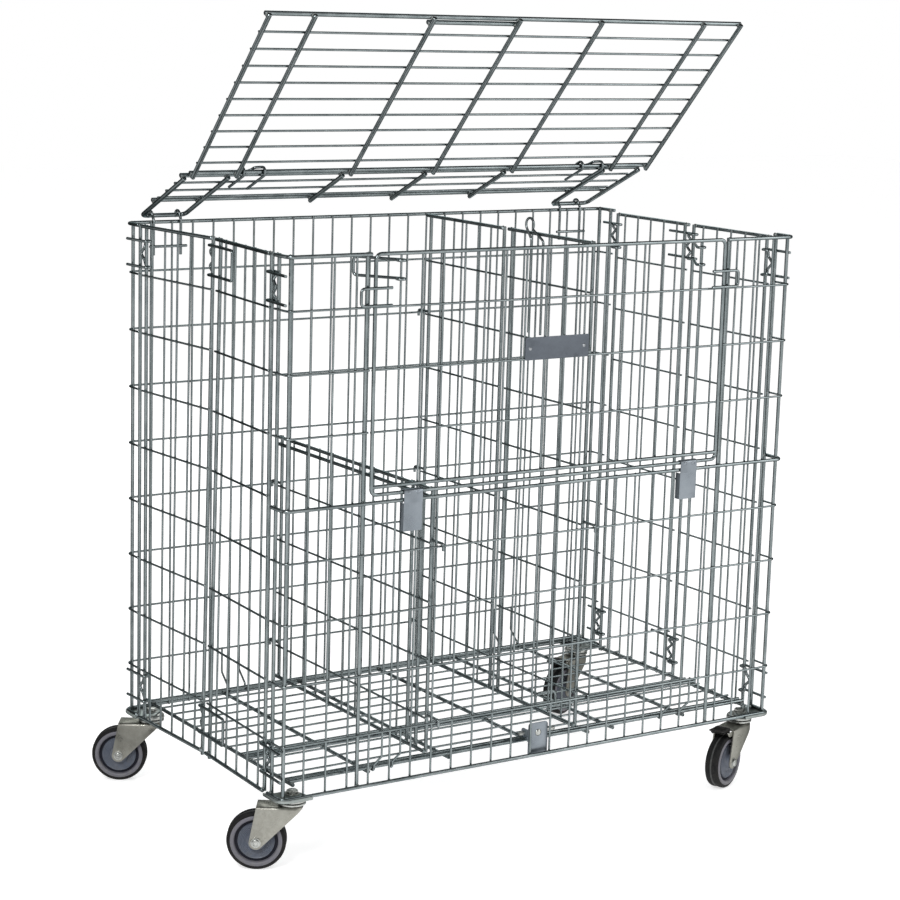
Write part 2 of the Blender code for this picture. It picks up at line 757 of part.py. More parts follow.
def divider_hook(x, end, level):
    """Wire from a divider's end post, over a level wire of the front or rear panel."""
    index = LEVELS.index(level)
    line, outward = (0.0, -1) if end == "front" else (CAGE_DEPTH, 1)
    post = DIVIDER_FRONT if end == "front" else DIVIDER_REAR
    out = line + outward * (level_out(index) + MESH + CLIP_REACH)
    over = level + MESH + CLIP_REACH
    return [(x, post, over), (x, out, over), (x, out, over - HOOK_DROP)]


def divider(name, x, start, stop, rails, levels, uprights, posts, hooks):
    """Upright wire leaf across the cage, with hooks on the front or rear panel."""

    def row(out, height):
        return [(x - out, start - LEVEL_TAIL, height), (x - out, stop + LEVEL_TAIL, height)]

    low, high = rails[0], rails[-1]
    pitch = (stop - start) / (uprights + 1)
    thin_places = [start + pitch * i for i in range(1, uprights + 1)]
    clear = FRAME + MESH + 2 * TOUCH
    thin_places = [y for y in thin_places if all(abs(y - post) > clear for post in posts)]
    thin = [upright(x + UPRIGHT_IN, y, low, high) for y in thin_places]
    thick = [upright(x + POST_IN, y, low, high) for y in (start, *posts, stop)]
    across = merged(
        "levels",
        tubes("rails", [row(welded_out(FRAME), z) for z in rails], FRAME, 6),
        tubes("levels", [row(level_out(LEVELS.index(z)), z) for z in levels], MESH, 4),
    )
    up = merged("uprights", tubes("thin", thin, MESH, 4), tubes("posts", thick, FRAME, 6))
    hook_wires = tubes("hooks", [divider_hook(x + POST_IN, *hook) for hook in hooks], CLIP, 4)
    return welded(name, zinc(name + "_zinc"), across, up, hook_wires)


def dividers():
    """Full-height divider in two leaves, and the half-height one."""
    middle = (CAGE_DEPTH - SIDE_HINGE_GAP) / 2
    full = (DIVIDER_FOOT, CAGE_HEIGHT)
    divider(
        "divider_front_leaf", FULL_DIVIDER, DIVIDER_FRONT, middle, full, LEVELS,
        DIVIDER_UPRIGHTS, (), [("front", LEVELS[0]), ("front", LEVELS[3])],
    )
    divider(
        "divider_rear_leaf", FULL_DIVIDER, CAGE_DEPTH - middle, DIVIDER_REAR, full, LEVELS,
        DIVIDER_UPRIGHTS, (), [("rear", LEVELS[0]), ("rear", LEVELS[3]), ("rear", LEVELS[6])],
    )
    half = (DIVIDER_FOOT, HALF_DIVIDER_TOP - HALF_DIVIDER_RAIL_GAP, HALF_DIVIDER_TOP)
    divider(
        "half_height_divider", HALF_DIVIDER, DIVIDER_FRONT, DIVIDER_REAR, half, LEVELS[:4],
        HALF_DIVIDER_UPRIGHTS, HALF_DIVIDER_POSTS,
        [("front", LEVELS[0]), ("front", LEVELS[3]), ("rear", LEVELS[0]), ("rear", LEVELS[3])],
    )


def divider_lock_pin():
    """Hairpin with a finger ring that lies along the near side of the full-height divider."""
    radius = ridge(LOCK_WIRE, 4)
    x = FULL_DIVIDER - (welded_out(FRAME) + FRAME + TOUCH + radius)
    depth, height = LOCK_RING_AT
    ring = LOCK_RING / 2
    sweep = [math.radians(a) for a in range(-40, 221, 26)]
    loop = [(x, depth - ring * math.cos(a), height + ring * math.sin(a)) for a in sweep]
    front, rear = LOCK_LEGS[1], LOCK_LEGS[0]
    shoulder = height - ring - 0.014
    run = [(x, front, LOCK_FOOT), (x, front, shoulder)] + loop + [(x, rear, shoulder), (x, rear, LOCK_FOOT)]
    piece = finish(tubes("divider_lock_pin", [run], radius, 4), zinc("lock_pin_zinc"))
    carry(pivot("divider_lock_pin_axis", (x, depth, CAGE_HEIGHT)), piece)
    return piece


def floor_grid():
    """Wire floor with thick depth bars, double end rails and two foot loops."""
    bar_tilt = SIDE_FACING
    bars = [
        [(x, FLOOR_FRONT - LEVEL_TAIL, FLOOR_HEIGHT), (x, FLOOR_REAR + LEVEL_TAIL, FLOOR_HEIGHT)]
        for x in FLOOR_BARS
    ]
    thin_up = FLOOR_HEIGHT + FRAME + MESH - WELD
    left, right = FLOOR_BARS[0] - LEVEL_TAIL, FLOOR_BARS[-1] + LEVEL_TAIL
    rails = (
        FLOOR_FRONT, FLOOR_FRONT + DOUBLE_GAP, FLOOR_CROSS_RAIL, FLOOR_CROSS_RAIL + DOUBLE_GAP, FLOOR_REAR,
    )
    pitch = (FLOOR_REAR - FLOOR_FRONT) / (FLOOR_WIRES - 1)
    clear = FRAME + MESH + TOUCH
    wires = [FLOOR_FRONT + pitch * i for i in range(FLOOR_WIRES)]
    wires = [y for y in wires if all(abs(y - rail) > clear for rail in rails)]
    rail_runs = [[(left, y, FLOOR_RAIL_HEIGHT), (right, y, FLOOR_RAIL_HEIGHT)] for y in rails]
    thin_runs = [[(left, y, thin_up), (right, y, thin_up)] for y in wires]
    across = merged(
        "floor_wires",
        tubes("rails", rail_runs, FRAME, 6, bar_tilt),
        tubes("thin", thin_runs, MESH, 4),
    )
    width, height = FOOT_LOOP_SIZE
    loops = [
        [
            (x, FLOOR_CROSS_RAIL, FLOOR_RAIL_HEIGHT),
            (x, FLOOR_CROSS_RAIL, FLOOR_RAIL_HEIGHT + height),
            (x + width, FLOOR_CROSS_RAIL, FLOOR_RAIL_HEIGHT + height),
            (x + width, FLOOR_CROSS_RAIL, FLOOR_RAIL_HEIGHT),
        ]
        for x in FOOT_LOOPS
    ]
    return welded(
        "floor_grid",
        zinc("floor_zinc"),
        tubes("bars", bars, FRAME, 6, bar_tilt),
        across,
        tubes("foot_loops", loops, CLIP, 4),
    )


def floor_lock():
    """Upright plate with a bolt at the middle of the front, and the sprung rod that runs through it."""
    width, thickness, height = LOCK_PLATE
    depth = UPRIGHT_IN + MESH + TOUCH + thickness / 2
    plate = sheet_box("floor_lock_plate", LOCK_PLATE, (FLOOR_LOCK, depth, height / 2 - FRAME))
    bolt = rod(
        "bolt", LOCK_BOLT / 2, 0.006, (FLOOR_LOCK, depth + thickness / 2 + 0.002, height - 0.018), "Y", 6
    )
    solids = [bolt]
    for x in (FLOOR_LOCK - width / 2 + LOCK_LUG[0] / 2, FLOOR_LOCK + width / 2 - LOCK_LUG[0] / 2):
        solids.append(sheet_box("lug", LOCK_LUG, (x, depth + LOCK_LUG[1] / 2 - TOUCH, LOCK_ROD_HEIGHT)))
    for solid in solids:
        bpy.context.view_layer.update()
        solid.data.transform(solid.matrix_basis)
        solid.matrix_basis = Matrix()
    boolean(plate, merged("lock_lugs", *solids), "UNION")
    rod_depth = depth + LOCK_ROD_STANDOFF
    hole = rod("hole", bore(LOCK_ROD / 2, 10), width * 2, (FLOOR_LOCK, rod_depth, LOCK_ROD_HEIGHT), "X", 10)
    boolean(plate, hole, "DIFFERENCE")
    finish(plate, material("lock_plate_zinc", (0.50, 0.52, 0.54), 0.4, 0.85))
    pin_centre = (FLOOR_LOCK + 0.008, rod_depth, LOCK_ROD_HEIGHT)
    pin = rod("floor_lock_pin", LOCK_ROD / 2, LOCK_ROD_LENGTH, pin_centre, "X", 10)
    collar = rod("collar", LOCK_ROD / 2 + 0.002, 0.004, (FLOOR_LOCK + 0.004, rod_depth, LOCK_ROD_HEIGHT), "X", 10)
    boolean(pin, collar, "UNION")
    finish(pin, zinc("floor_lock_pin_zinc"))
    carry(pivot("floor_lock_pin_axis", pin_centre), pin)


class LidPlane:
    """Sloping plane of one lid section: u along X, v down the slope from its upper rail, w above it."""

    def __init__(self, left, rail, raised, towards_pivot):
        slope = math.radians(raised)
        self.left = left
        self.rail = Vector(rail)
        ahead = Vector((0.0, -math.cos(slope), math.sin(slope)))
        self.run = -ahead if towards_pivot else ahead
        self.up = Vector((0.0, math.sin(slope), math.cos(slope)))

    def point(self, u, v, w):
        """World point of a place on the section, w measured from the middle of its rails."""
        place = self.rail + self.run * v + self.up * w
        return (self.left + u, place.y, place.z)


def lid_layer(thick=True):
    """Height of the rails or thin wires above the depth wires that they are welded on."""
    return LID_FRAME + (LID_FRAME if thick else LID_MESH) - WELD


def lid_rails():
    """Places of the two rails where the lid folds, worked out from the pivot."""
    slope = math.radians(REAR_RAISED)
    ahead = Vector((0.0, -math.cos(slope), math.sin(slope)))
    up = Vector((0.0, math.sin(slope), math.cos(slope)))
    base = Vector((0.0, PIVOT_DEPTH, PIVOT_HEIGHT))
    rear = base + ahead * REAR_PIVOT_REACH + up * lid_layer()
    return rear, rear + ahead * LID_RAIL_SPACING


def lid_rear_section():
    """Rear strip of the lid, hinged behind the rear rail by the two arms that its end wires make."""
    rear_rail, _ = lid_rails()
    plane = LidPlane(LID_MARGIN, rear_rail, REAR_RAISED, towards_pivot=True)
    depth_w = -lid_layer()
    thin_w = lid_layer(thick=False) - lid_layer()
    over = LEVEL_TAIL
    corner = 0.006
    arms = []
    for first, second in ((LID_STATIONS[0], LID_STATIONS[1]), (LID_STATIONS[-2], LID_STATIONS[-1])):
        arms.append([
            plane.point(first, -over, depth_w),
            plane.point(first, REAR_PIVOT_REACH - corner, depth_w),
            plane.point(first + corner, REAR_PIVOT_REACH, depth_w),
            plane.point(second - corner, REAR_PIVOT_REACH, depth_w),
            plane.point(second, REAR_PIVOT_REACH - corner, depth_w),
            plane.point(second, -over, depth_w),
        ])
    inner = [
        [plane.point(u, -over, depth_w), plane.point(u, REAR_END_RAIL + over, depth_w)]
        for u in LID_STATIONS[2:-2]
    ]
    ends = (-over, LID_LENGTH + over)
    rails = [[plane.point(u, v, 0.0) for u in ends] for v in (0.0, REAR_END_RAIL)]
    thin_ends = (-THIN_OVER, LID_LENGTH + THIN_OVER)
    thin = [[plane.point(u, v, thin_w) for u in thin_ends] for v in REAR_WIRES]
    piece = welded(
        "lid_rear_section",
        zinc("lid_rear_zinc"),
        merged(
            "rails",
            tubes("thick", rails, LID_FRAME, 6, LID_TILT_REAR),
            tubes("thin", thin, LID_MESH, 4, LID_TURN_REAR),
        ),
        merged("depth_wires", depth_tubes(arms), depth_tubes(inner)),
    )
    carry(pivot("lid_rear_axis", (CAGE_LENGTH / 2, PIVOT_DEPTH, PIVOT_HEIGHT)), piece)
    return piece


def depth_tubes(runs):
    """Thick wires that run down the slope of a lid section, ridges up and down."""
    return tubes("depth", runs, LID_FRAME, 6, SIDE_FACING)


LID_TILT_REAR = SIDE_FACING - math.radians(REAR_RAISED)
LID_TURN_REAR = -math.radians(REAR_RAISED)
LID_TILT_FRONT = SIDE_FACING - math.radians(FRONT_RAISED)
LID_TURN_FRONT = -math.radians(FRONT_RAISED)


def lid_front_section():
    """Front section of the lid, with a short bar behind its front rail as a handle."""
    _, front_rail = lid_rails()
    plane = LidPlane(LID_MARGIN + LID_SLACK, front_rail, FRONT_RAISED, towards_pivot=False)
    depth_w = -lid_layer()
    thin_w = lid_layer(thick=False) - lid_layer()
    over = LEVEL_TAIL
    depth_runs = [
        [plane.point(u, -over, depth_w), plane.point(u, FRONT_DEPTH + over, depth_w)]
        for u in LID_STATIONS
    ]
    ends = (-over, LID_LENGTH + over)
    rails = [[plane.point(u, v, 0.0) for u in ends] for v in (0.0, FRONT_DEPTH)]
    handle_ends = (LID_STATIONS[2] - over, LID_STATIONS[3] + over)
    rails.append([plane.point(u, FRONT_DEPTH - HANDLE_SETBACK, 0.0) for u in handle_ends])
    thin_ends = (-THIN_OVER, LID_LENGTH + THIN_OVER)
    thin = [
        [plane.point(u, FRONT_FIRST_WIRE + FRONT_WIRE_PITCH * i, thin_w) for u in thin_ends]
        for i in range(FRONT_WIRES)
    ]
    piece = welded(
        "lid_front_section",
        zinc("lid_front_zinc"),
        merged(
            "rails",
            tubes("thick", rails, LID_FRAME, 6, LID_TILT_FRONT),
            tubes("thin", thin, LID_MESH, 4, LID_TURN_FRONT),
        ),
        depth_tubes(depth_runs),
    )
    carry(pivot("lid_front_axis", (CAGE_LENGTH / 2, front_rail.y, front_rail.z)), piece)
    return piece


def lid_hinge_wire(side):
    """One wire that hooks over both rails at two places and hinges the lid's sections together."""
    rear_rail, front_rail = lid_rails()
    close = LID_FRAME + TOUCH + CLIP
    reach = 1.12 * close
    slope = math.radians(REAR_RAISED)
    ahead = Vector((0.0, -math.cos(slope), math.sin(slope)))
    up = Vector((0.0, math.sin(slope), math.cos(slope)))
    wide, narrow, last = HINGE_WIRES[side]
    over = (wide + narrow) / 2

    def around(x, rail, angle):
        """Point beside a rail, at an angle from the direction that the strip rises in."""
        a = math.radians(angle)
        place = rail + ahead * (reach * math.cos(a)) + up * (reach * math.sin(a))
        return (x, place.y, place.z)

    def tail(x, length):
        """End of a tail that lies under the strip."""
        place = rear_rail - ahead * length - up * close
        return (x, place.y, place.z)

    hook = (-60, 0, 60)
    run = [tail(wide, HINGE_WIRE_TAILS[0])]
    run += [around(wide, front_rail, a) for a in hook]
    run += [around(over, front_rail, 90), around(over, rear_rail, 90), around(narrow, rear_rail, 140)]
    run += [around(last, rear_rail, 140), around(last, rear_rail, 90)]
    run += [around(last, front_rail, a) for a in hook[::-1]]
    run.append(tail(last, HINGE_WIRE_TAILS[1]))
    name = f"lid_hinge_wire_{side}"
    return finish(tubes(name, [run], CLIP, 4), zinc(name + "_zinc"))


def lid_hinge_loops(side):
    """Two wires that rise inside the rear panel and loop over the lid's base bar, with a cross bar."""
    inside = CAGE_DEPTH - WELD / 2 - TOUCH - CLIP
    reach = (LID_FRAME + TOUCH + CLIP) * 1.06
    loop = []
    for angle in (165, 120, 75, 30, -15):
        a = math.radians(angle)
        loop.append((PIVOT_DEPTH + reach * math.cos(a), PIVOT_HEIGHT + reach * math.sin(a)))
    outline = [(inside, LOOP_FOOT), (inside, CAGE_HEIGHT + 0.004)] + loop
    legs = [[(x, y, z) for y, z in outline] for x in LOOP_LEGS[side]]
    bar_depth = inside - 2 * CLIP + WELD
    first, last = LOOP_LEGS[side]
    bar = [(first - LOOP_BAR_OVER, bar_depth, LOOP_BAR), (last + LOOP_BAR_OVER, bar_depth, LOOP_BAR)]
    name = f"lid_hinge_loops_{side}"
    return welded(name, zinc(name + "_zinc"), tubes("legs", legs, CLIP, 4), tubes("bar", [bar], CLIP, 4))


def lathe(name, outline, sides, closed=False):
    """Turned piece about its own Z axis, from (radius, height) points given top to bottom."""
    shape = bmesh.new()
    verts = [shape.verts.new((r, 0.0, z)) for r, z in outline]
    pairs = list(zip(verts, verts[1:]))
    if closed:
        pairs.append((verts[-1], verts[0]))
    for a, b in pairs:
        shape.edges.new((a, b))
    mesh = bpy.data.meshes.new(name)
    shape.to_mesh(mesh)
    shape.free()
    obj = bpy.data.objects.new(name, mesh)
    turn = obj.modifiers.new("Turn", "SCREW")
    turn.steps = sides
    turn.render_steps = sides
    turn.use_merge_vertices = True
    turn.merge_threshold = 1e-5
    return obj


def castor(name, along, back, heading):
    """Corner plate, swivel head, fork, wheel and axle, with a brake pedal on the braked ones."""
    inset_x, inset_y = REAR_STEM if back else FRONT_STEM
    stem_x = mirror_x(inset_x) if along else inset_x
    stem_y = CAGE_DEPTH - inset_y if back else inset_y
    plate_top = -(FRAME * math.cos(math.radians(30)) + TOUCH)
    plate_bottom = plate_top - PLATE_SHEET
    corner_plate(name, along, back, plate_top, (stem_x, stem_y))
    head_top = plate_bottom - TOUCH
    head_bottom = head_top - HEAD_HEIGHT
    fork_top = head_bottom - TOUCH
    swivel_head(name, (stem_x, stem_y), plate_top, head_top, head_bottom, fork_top)
    steer = pivot(f"castor_{name}_axis", (stem_x, stem_y, head_bottom))
    turned = Matrix.Translation((stem_x, stem_y, 0.0)) @ Matrix.Rotation(math.radians(heading), 4, "Z")
    frame, roller, bolt = fork(name, fork_top), wheel(name), axle(name)
    for piece in (frame, roller, bolt):
        piece.matrix_world = turned @ piece.matrix_world
    spin = pivot(f"wheel_{name}_axis", turned @ Vector((TRAIL, 0.0, -AXLE_DROP)))
    carry(steer, frame, bolt, spin)
    carry(spin, roller)
    if name in BRAKED:
        pedal = brake_pedal(name, fork_top)
        pedal.matrix_world = turned @ pedal.matrix_world
        at = Vector((TRAIL + TOUCH + PEDAL_PIVOT[0], 0.0, fork_top - PEDAL_PIVOT[1]))
        press = pivot(f"brake_pedal_{name}_axis", turned @ at)
        carry(steer, press)
        carry(press, pedal)


def corner_plate(name, along, back, top, stem):
    """Tray under a bottom corner, with a lip outside each rail and its inner corner cut off."""
    lip_out = welded_out(FRAME) + FRAME + TOUCH + PLATE_SHEET / 2
    long_side, short_side = PLATE_SIDES
    cut = 0.022
    middle = top - PLATE_SHEET / 2
    outline = [
        (-lip_out, -lip_out),
        (long_side - lip_out, -lip_out),
        (long_side - lip_out, short_side - lip_out - cut),
        (long_side - lip_out - cut, short_side - lip_out),
        (-lip_out, short_side - lip_out),
    ]

    def place(x, y, z):
        return (x if along == 0 else mirror_x(x), y if back == 0 else CAGE_DEPTH - y, z)

    shape = bmesh.new()
    floor = [shape.verts.new(place(x, y, middle)) for x, y in outline]
    shape.faces.new(floor)
    lip = middle + PLATE_LIP
    for start, stop in ((0, 1), (4, 0)):
        ends = [floor[start], floor[stop]]
        tops = [shape.verts.new((v.co.x, v.co.y, lip)) for v in ends]
        shape.faces.new((ends[0], ends[1], tops[1], tops[0]))
    bmesh.ops.remove_doubles(shape, verts=shape.verts, dist=1e-6)
    bmesh.ops.recalc_face_normals(shape, faces=shape.faces)
    mesh = bpy.data.meshes.new(name)
    shape.to_mesh(mesh)
    shape.free()
    plate = bpy.data.objects.new(f"corner_plate_{name}", mesh)
    sheet = plate.modifiers.new("Sheet", "SOLIDIFY")
    sheet.thickness = PLATE_SHEET
    sheet.offset = 0.0
    sheet.use_even_offset = True
    hole = rod("hole", bore(STEM / 2, 10), 4 * PLATE_SHEET, (*stem, middle), sides=10)
    boolean(plate, hole, "DIFFERENCE")
    return finish(plate, zinc(f"corner_plate_{name}_zinc"))


def swivel_head(name, stem, plate_top, head_top, head_bottom, fork_top):
    """Stem bolt, ball race and the pin that the fork hangs on."""
    bolt = STEM / 2
    head = 0.0185 / 2
    nut_top = fork_top - FORK_SHEET - TOUCH
    outline = [
        (0.0, plate_top + TOUCH + 0.0065),
        (head, plate_top + TOUCH + 0.0065),
        (head, plate_top + TOUCH),
        (bolt, plate_top + TOUCH),
        (bolt, head_top),
        (HEAD_DIAMETER / 2, head_top),
        (HEAD_DIAMETER / 2, head_bottom),
        (bolt, head_bottom),
        (bolt, nut_top),
        (head, nut_top),
        (head, nut_top - 0.006),
        (0.0, nut_top - 0.006),
    ]
    obj = lathe(f"swivel_head_{name}", outline, 10)
    obj.location = (*stem, 0.0)
    return finish(obj, zinc(f"swivel_head_{name}_zinc"))


def fork(name, top):
    """Pressed fork: a top plate under the race and two cheeks that reach back to the axle."""
    axle_z = -AXLE_DROP
    middle_top = top - FORK_SHEET / 2
    half = (FORK_WIDTH - FORK_SHEET) / 2
    outline = fork_cheek(top)
    shape = bmesh.new()
    sides = []
    for y in (-half, half):
        verts = [shape.verts.new((x, y, z)) for x, z in outline]
        shape.faces.new(verts)
        sides.append(verts)
    shape.faces.new((sides[0][0], sides[0][1], sides[1][1], sides[1][0]))
    bmesh.ops.recalc_face_normals(shape, faces=shape.faces)
    mesh = bpy.data.meshes.new(name)
    shape.to_mesh(mesh)
    shape.free()
    obj = bpy.data.objects.new(f"fork_{name}", mesh)
    sheet = obj.modifiers.new("Sheet", "SOLIDIFY")
    sheet.thickness = FORK_SHEET
    sheet.offset = 0.0
    sheet.use_even_offset = True
    king_hole = rod("king_hole", bore(STEM / 2, 10), 4 * FORK_SHEET, (0.0, 0.0, middle_top), sides=10)
    axle_hole = rod("axle_hole", bore(AXLE / 2, 8), 2 * FORK_WIDTH, (TRAIL, 0.0, axle_z), "Y", 8)
    bpy.context.view_layer.update()
    for hole in (king_hole, axle_hole):
        hole.data.transform(hole.matrix_basis)
        hole.matrix_basis = Matrix()
    boolean(obj, merged("fork_holes", king_hole, axle_hole), "DIFFERENCE")
    return finish(obj, material(f"fork_{name}_zinc", (0.60, 0.60, 0.55), 0.35, 0.85))


def fork_cheek(top):
    """Outline of a fork cheek in the plane of the wheel, x towards the trailing axle."""
    middle_top = top - FORK_SHEET / 2
    axle_z = -AXLE_DROP
    tip = 0.0115
    front = 0.001 - HEAD_DIAMETER / 2
    outline = [
        (TRAIL, middle_top),
        (front, middle_top),
        (front, middle_top - 0.009),
        (TRAIL - 0.063, axle_z + 0.037),
        (TRAIL - 0.053, axle_z + 0.026),
    ]
    for angle in (235, 270, 315, 0):
        a = math.radians(angle)
        outline.append((TRAIL + tip * math.cos(a), axle_z + tip * math.sin(a)))
    return outline


def wheel(name):
    """Wheel: rubber tyre on a plastic centre with a hub that fills the fork."""
    radius, half = WHEEL_DIAMETER / 2, WHEEL_WIDTH / 2
    hub_half = FORK_WIDTH / 2 - FORK_SHEET - TOUCH
    hub = HUB_DIAMETER / 2
    hole = bore(AXLE / 2, WHEEL_SIDES)
    web = 0.008
    rim = radius - 0.013
    side = [(hole, hub_half), (hub, hub_half), (rim, web), (rim + 0.003, half), (radius, half - 0.004)]
    outline = side + [(r, -z) for r, z in side[::-1]]
    obj = lathe(f"wheel_{name}", outline, WHEEL_SIDES, closed=True)
    obj.matrix_world = (
        Matrix.Translation((TRAIL, 0.0, -AXLE_DROP))
        @ Matrix.Rotation(math.pi / 2, 4, "X")
        @ Matrix.Rotation(math.pi / WHEEL_SIDES, 4, "Z")
    )
    return finish(obj, material(f"wheel_{name}_rubber", (0.05, 0.05, 0.055), 0.7, 0.0))


def axle(name):
    """Axle bolt through both cheeks, with its head and nut outside them."""
    outside = FORK_WIDTH / 2 + TOUCH
    bolt = AXLE / 2
    head = 0.0075
    end = outside + 0.005
    outline = [
        (0.0, end), (head, end), (head, outside), (bolt, outside),
        (bolt, -outside), (head, -outside), (head, -end), (0.0, -end),
    ]
    obj = lathe(f"axle_{name}", outline, 8)
    obj.matrix_world = Matrix.Translation((TRAIL, 0.0, -AXLE_DROP)) @ Matrix.Rotation(math.pi / 2, 4, "X")
    return finish(obj, zinc(f"axle_{name}_zinc"))


def brake_pedal(name, top):
    """Foot pedal of the wheel brake, behind the fork's top and above the wheel."""
    length, width, thickness = PEDAL_SIZE
    start = TRAIL + TOUCH
    high = top + 0.004
    outline = [
        (start, high),
        (start + length, high + 0.001),
        (start + length + 0.001, high - 0.005),
        (start + 0.012, high - thickness - 0.002),
        (start, high - thickness - 0.004),
    ]
    shape = bmesh.new()
    verts = [shape.verts.new((x, -width / 2, z)) for x, z in outline]
    face = shape.faces.new(verts)
    spread = bmesh.ops.extrude_face_region(shape, geom=[face])
    moved = [item for item in spread["geom"] if isinstance(item, bmesh.types.BMVert)]
    bmesh.ops.translate(shape, verts=moved, vec=(0.0, width, 0.0))
    bmesh.ops.recalc_face_normals(shape, faces=shape.faces)
    mesh = bpy.data.meshes.new(name)
    shape.to_mesh(mesh)
    shape.free()
    obj = bpy.data.objects.new(f"brake_pedal_{name}", mesh)
    return finish(obj, material(f"brake_pedal_{name}_plastic", (0.02, 0.02, 0.02), 0.5, 0.0))


def settle():
    """Move everything so that the origin is on the floor under the middle."""
    bpy.context.view_layer.update()
    depsgraph = bpy.context.evaluated_depsgraph_get()
    corners = []
    for obj in parts.objects:
        if obj.type == "MESH":
            seen = obj.evaluated_get(depsgraph)
            corners += [seen.matrix_world @ vert.co for vert in seen.data.vertices]
    low = np.min(corners, axis=0)
    high = np.max(corners, axis=0)
    shift = Vector((-(low[0] + high[0]) / 2, -(low[1] + high[1]) / 2, -low[2]))
    for obj in (*parts.objects, *weld_shapes.objects):
        if obj.parent is None:
            obj.location += shift


def main():
    """Build the whole trolley."""
    for obj in list(bpy.data.objects):
        bpy.data.objects.remove(obj)
    bpy.context.scene.collection.children.link(parts)
    bpy.context.scene.collection.children.link(weld_shapes)
    rear_panel()
    front_panel()
    for side in ("left", "right"):
        bottom_legs = [height - SIDE_DROP[side] for height in BOTTOM_CLIP_LEGS]
        for half, top_legs in (("front", FRONT_CLIP_LEGS), ("rear", REAR_CLIP_LEGS)):
            side_half(side, half)
            corner_clip(side, half, top_legs, f"{half}_{side}_hinge_clip_top")
            corner_clip(side, half, bottom_legs, f"{half}_{side}_hinge_clip_bottom")
        if side == "left":
            left_mid_clip(LEFT_MID_CLIP_LEGS, "left_mid_clip_top")
            left_mid_clip(bottom_legs, "left_mid_clip_bottom")
        else:
            right_mid_clip(RIGHT_MID_CLIP_LEGS, "right_mid_clip_top")
            right_mid_clip(bottom_legs, "right_mid_clip_bottom")
        gate_latch(side)
        lid_hinge_wire(side)
        lid_hinge_loops(side)
    gate()
    label_plate()
    gate_hinge_clip("gate_hinge_clip_left", CLIP_CENTRES[0])
    gate_hinge_clip("gate_hinge_clip_right", CLIP_CENTRES[1])
    dividers()
    divider_lock_pin()
    floor_grid()
    floor_lock()
    lid_rear_section()
    lid_front_section()
    for name, (along, back, heading) in CASTORS.items():
        castor(name, along, back, heading)
    settle()


main()
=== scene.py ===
"""Looks of the storage trolley: round welded wire, folded zinc sheet and castors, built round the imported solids.

Metres, +Z up. Pieces are laid out in the cage's own frame, where X runs right from the corner of the front
and left weld lines, Y to the rear and Z up from the middle of the bottom rail, and are moved once, by SHIFT.
A weld line is where the level wires of a panel meet its upright wires.
"""

import logging
import math
from dataclasses import dataclass
from enum import Enum
from typing import Callable, Iterable, Optional, Sequence

import bmesh
import bpy
from mathutils import Matrix, Vector


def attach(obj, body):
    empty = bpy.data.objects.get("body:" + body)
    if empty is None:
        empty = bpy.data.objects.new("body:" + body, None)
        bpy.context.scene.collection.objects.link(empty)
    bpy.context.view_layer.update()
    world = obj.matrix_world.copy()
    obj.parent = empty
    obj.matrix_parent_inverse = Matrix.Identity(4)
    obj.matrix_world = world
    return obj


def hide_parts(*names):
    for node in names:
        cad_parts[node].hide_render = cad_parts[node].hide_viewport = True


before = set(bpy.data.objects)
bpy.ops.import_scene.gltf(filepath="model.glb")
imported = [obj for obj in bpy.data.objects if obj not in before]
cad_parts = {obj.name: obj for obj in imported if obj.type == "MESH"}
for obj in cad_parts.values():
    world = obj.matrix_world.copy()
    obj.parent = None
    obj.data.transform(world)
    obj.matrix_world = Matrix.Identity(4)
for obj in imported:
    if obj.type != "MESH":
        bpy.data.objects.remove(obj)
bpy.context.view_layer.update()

log = logging.getLogger("storage_trolley")

Point = Sequence[float]
Row = Sequence[Point]
Shell = bmesh.types.BMesh

SHIFT = Vector((-0.48745025, -0.29483007, 0.13188447))
SINK = 0.0006  # depth to which welded wires are pressed into each other
TOUCH = 0.0003  # gap between pieces that touch
UPRIGHT_TAIL = 0.0025  # how far an upright wire runs past its last weld
LEVEL_TAIL = 0.005  # how far a level wire runs past its last weld
SHARP_ANGLE = math.radians(42)
BEND_STEP = math.radians(18)
END_CHAMFER = 0.2  # share of a wire's radius
WELD_SIZE = (1.35, 1.35, 0.78)  # shares of the thinner wire's radius
MERGE = 1e-6
ALONG_X, ALONG_Y, ALONG_Z = (1.0, 0.0, 0.0), (0.0, 1.0, 0.0), (0.0, 0.0, 1.0)
WHITE = (1.0, 1.0, 1.0, 1.0)
METAL_EDGE = (0.18, 0.21, 0.21, 1.0)  # tint of a metal seen at a glancing angle
SHINE, DARK_SHINE = 0.5, 0.15  # specular levels of a finish, and of a black plastic or rubber
DUST_DULLS = 0.35  # roughness that full dust adds

# Outlines of turned heads: radius from the axis, height over the face that they sit on
RIVET_HEAD = ((0.0, 0.0013), (0.0016, 0.0011), (0.0027, 0.0005), (0.003, -0.0001), (0.0, -0.0001))
BOLT_HEAD = ((0.0, 0.0022), (0.0030, 0.0020), (0.0052, 0.0012), (0.0062, 0.0), (0.0062, -0.0006), (0.0, -0.0006))
STEM_HEAD = ((0.0, 0.0068), (0.0040, 0.0067), (0.0072, 0.0061), (0.0072, 0.0050), (0.0, 0.0050))
FORK_BOSS = ((0.0, 0.0006), (0.0088, 0.0006), (0.0094, 0.0002), (0.0094, -0.0005), (0.0, -0.0005))
FORK_DIMPLE = ((0.0, 0.0013), (0.0016, 0.0011), (0.0026, 0.0004), (0.0028, -0.0004), (0.0, -0.0004))
AXLE_COLLAR = ((0.0040, 0.0030), (0.0058, 0.0030), (0.0062, 0.0042), (0.0056, 0.0047), (0.0042, 0.0047))

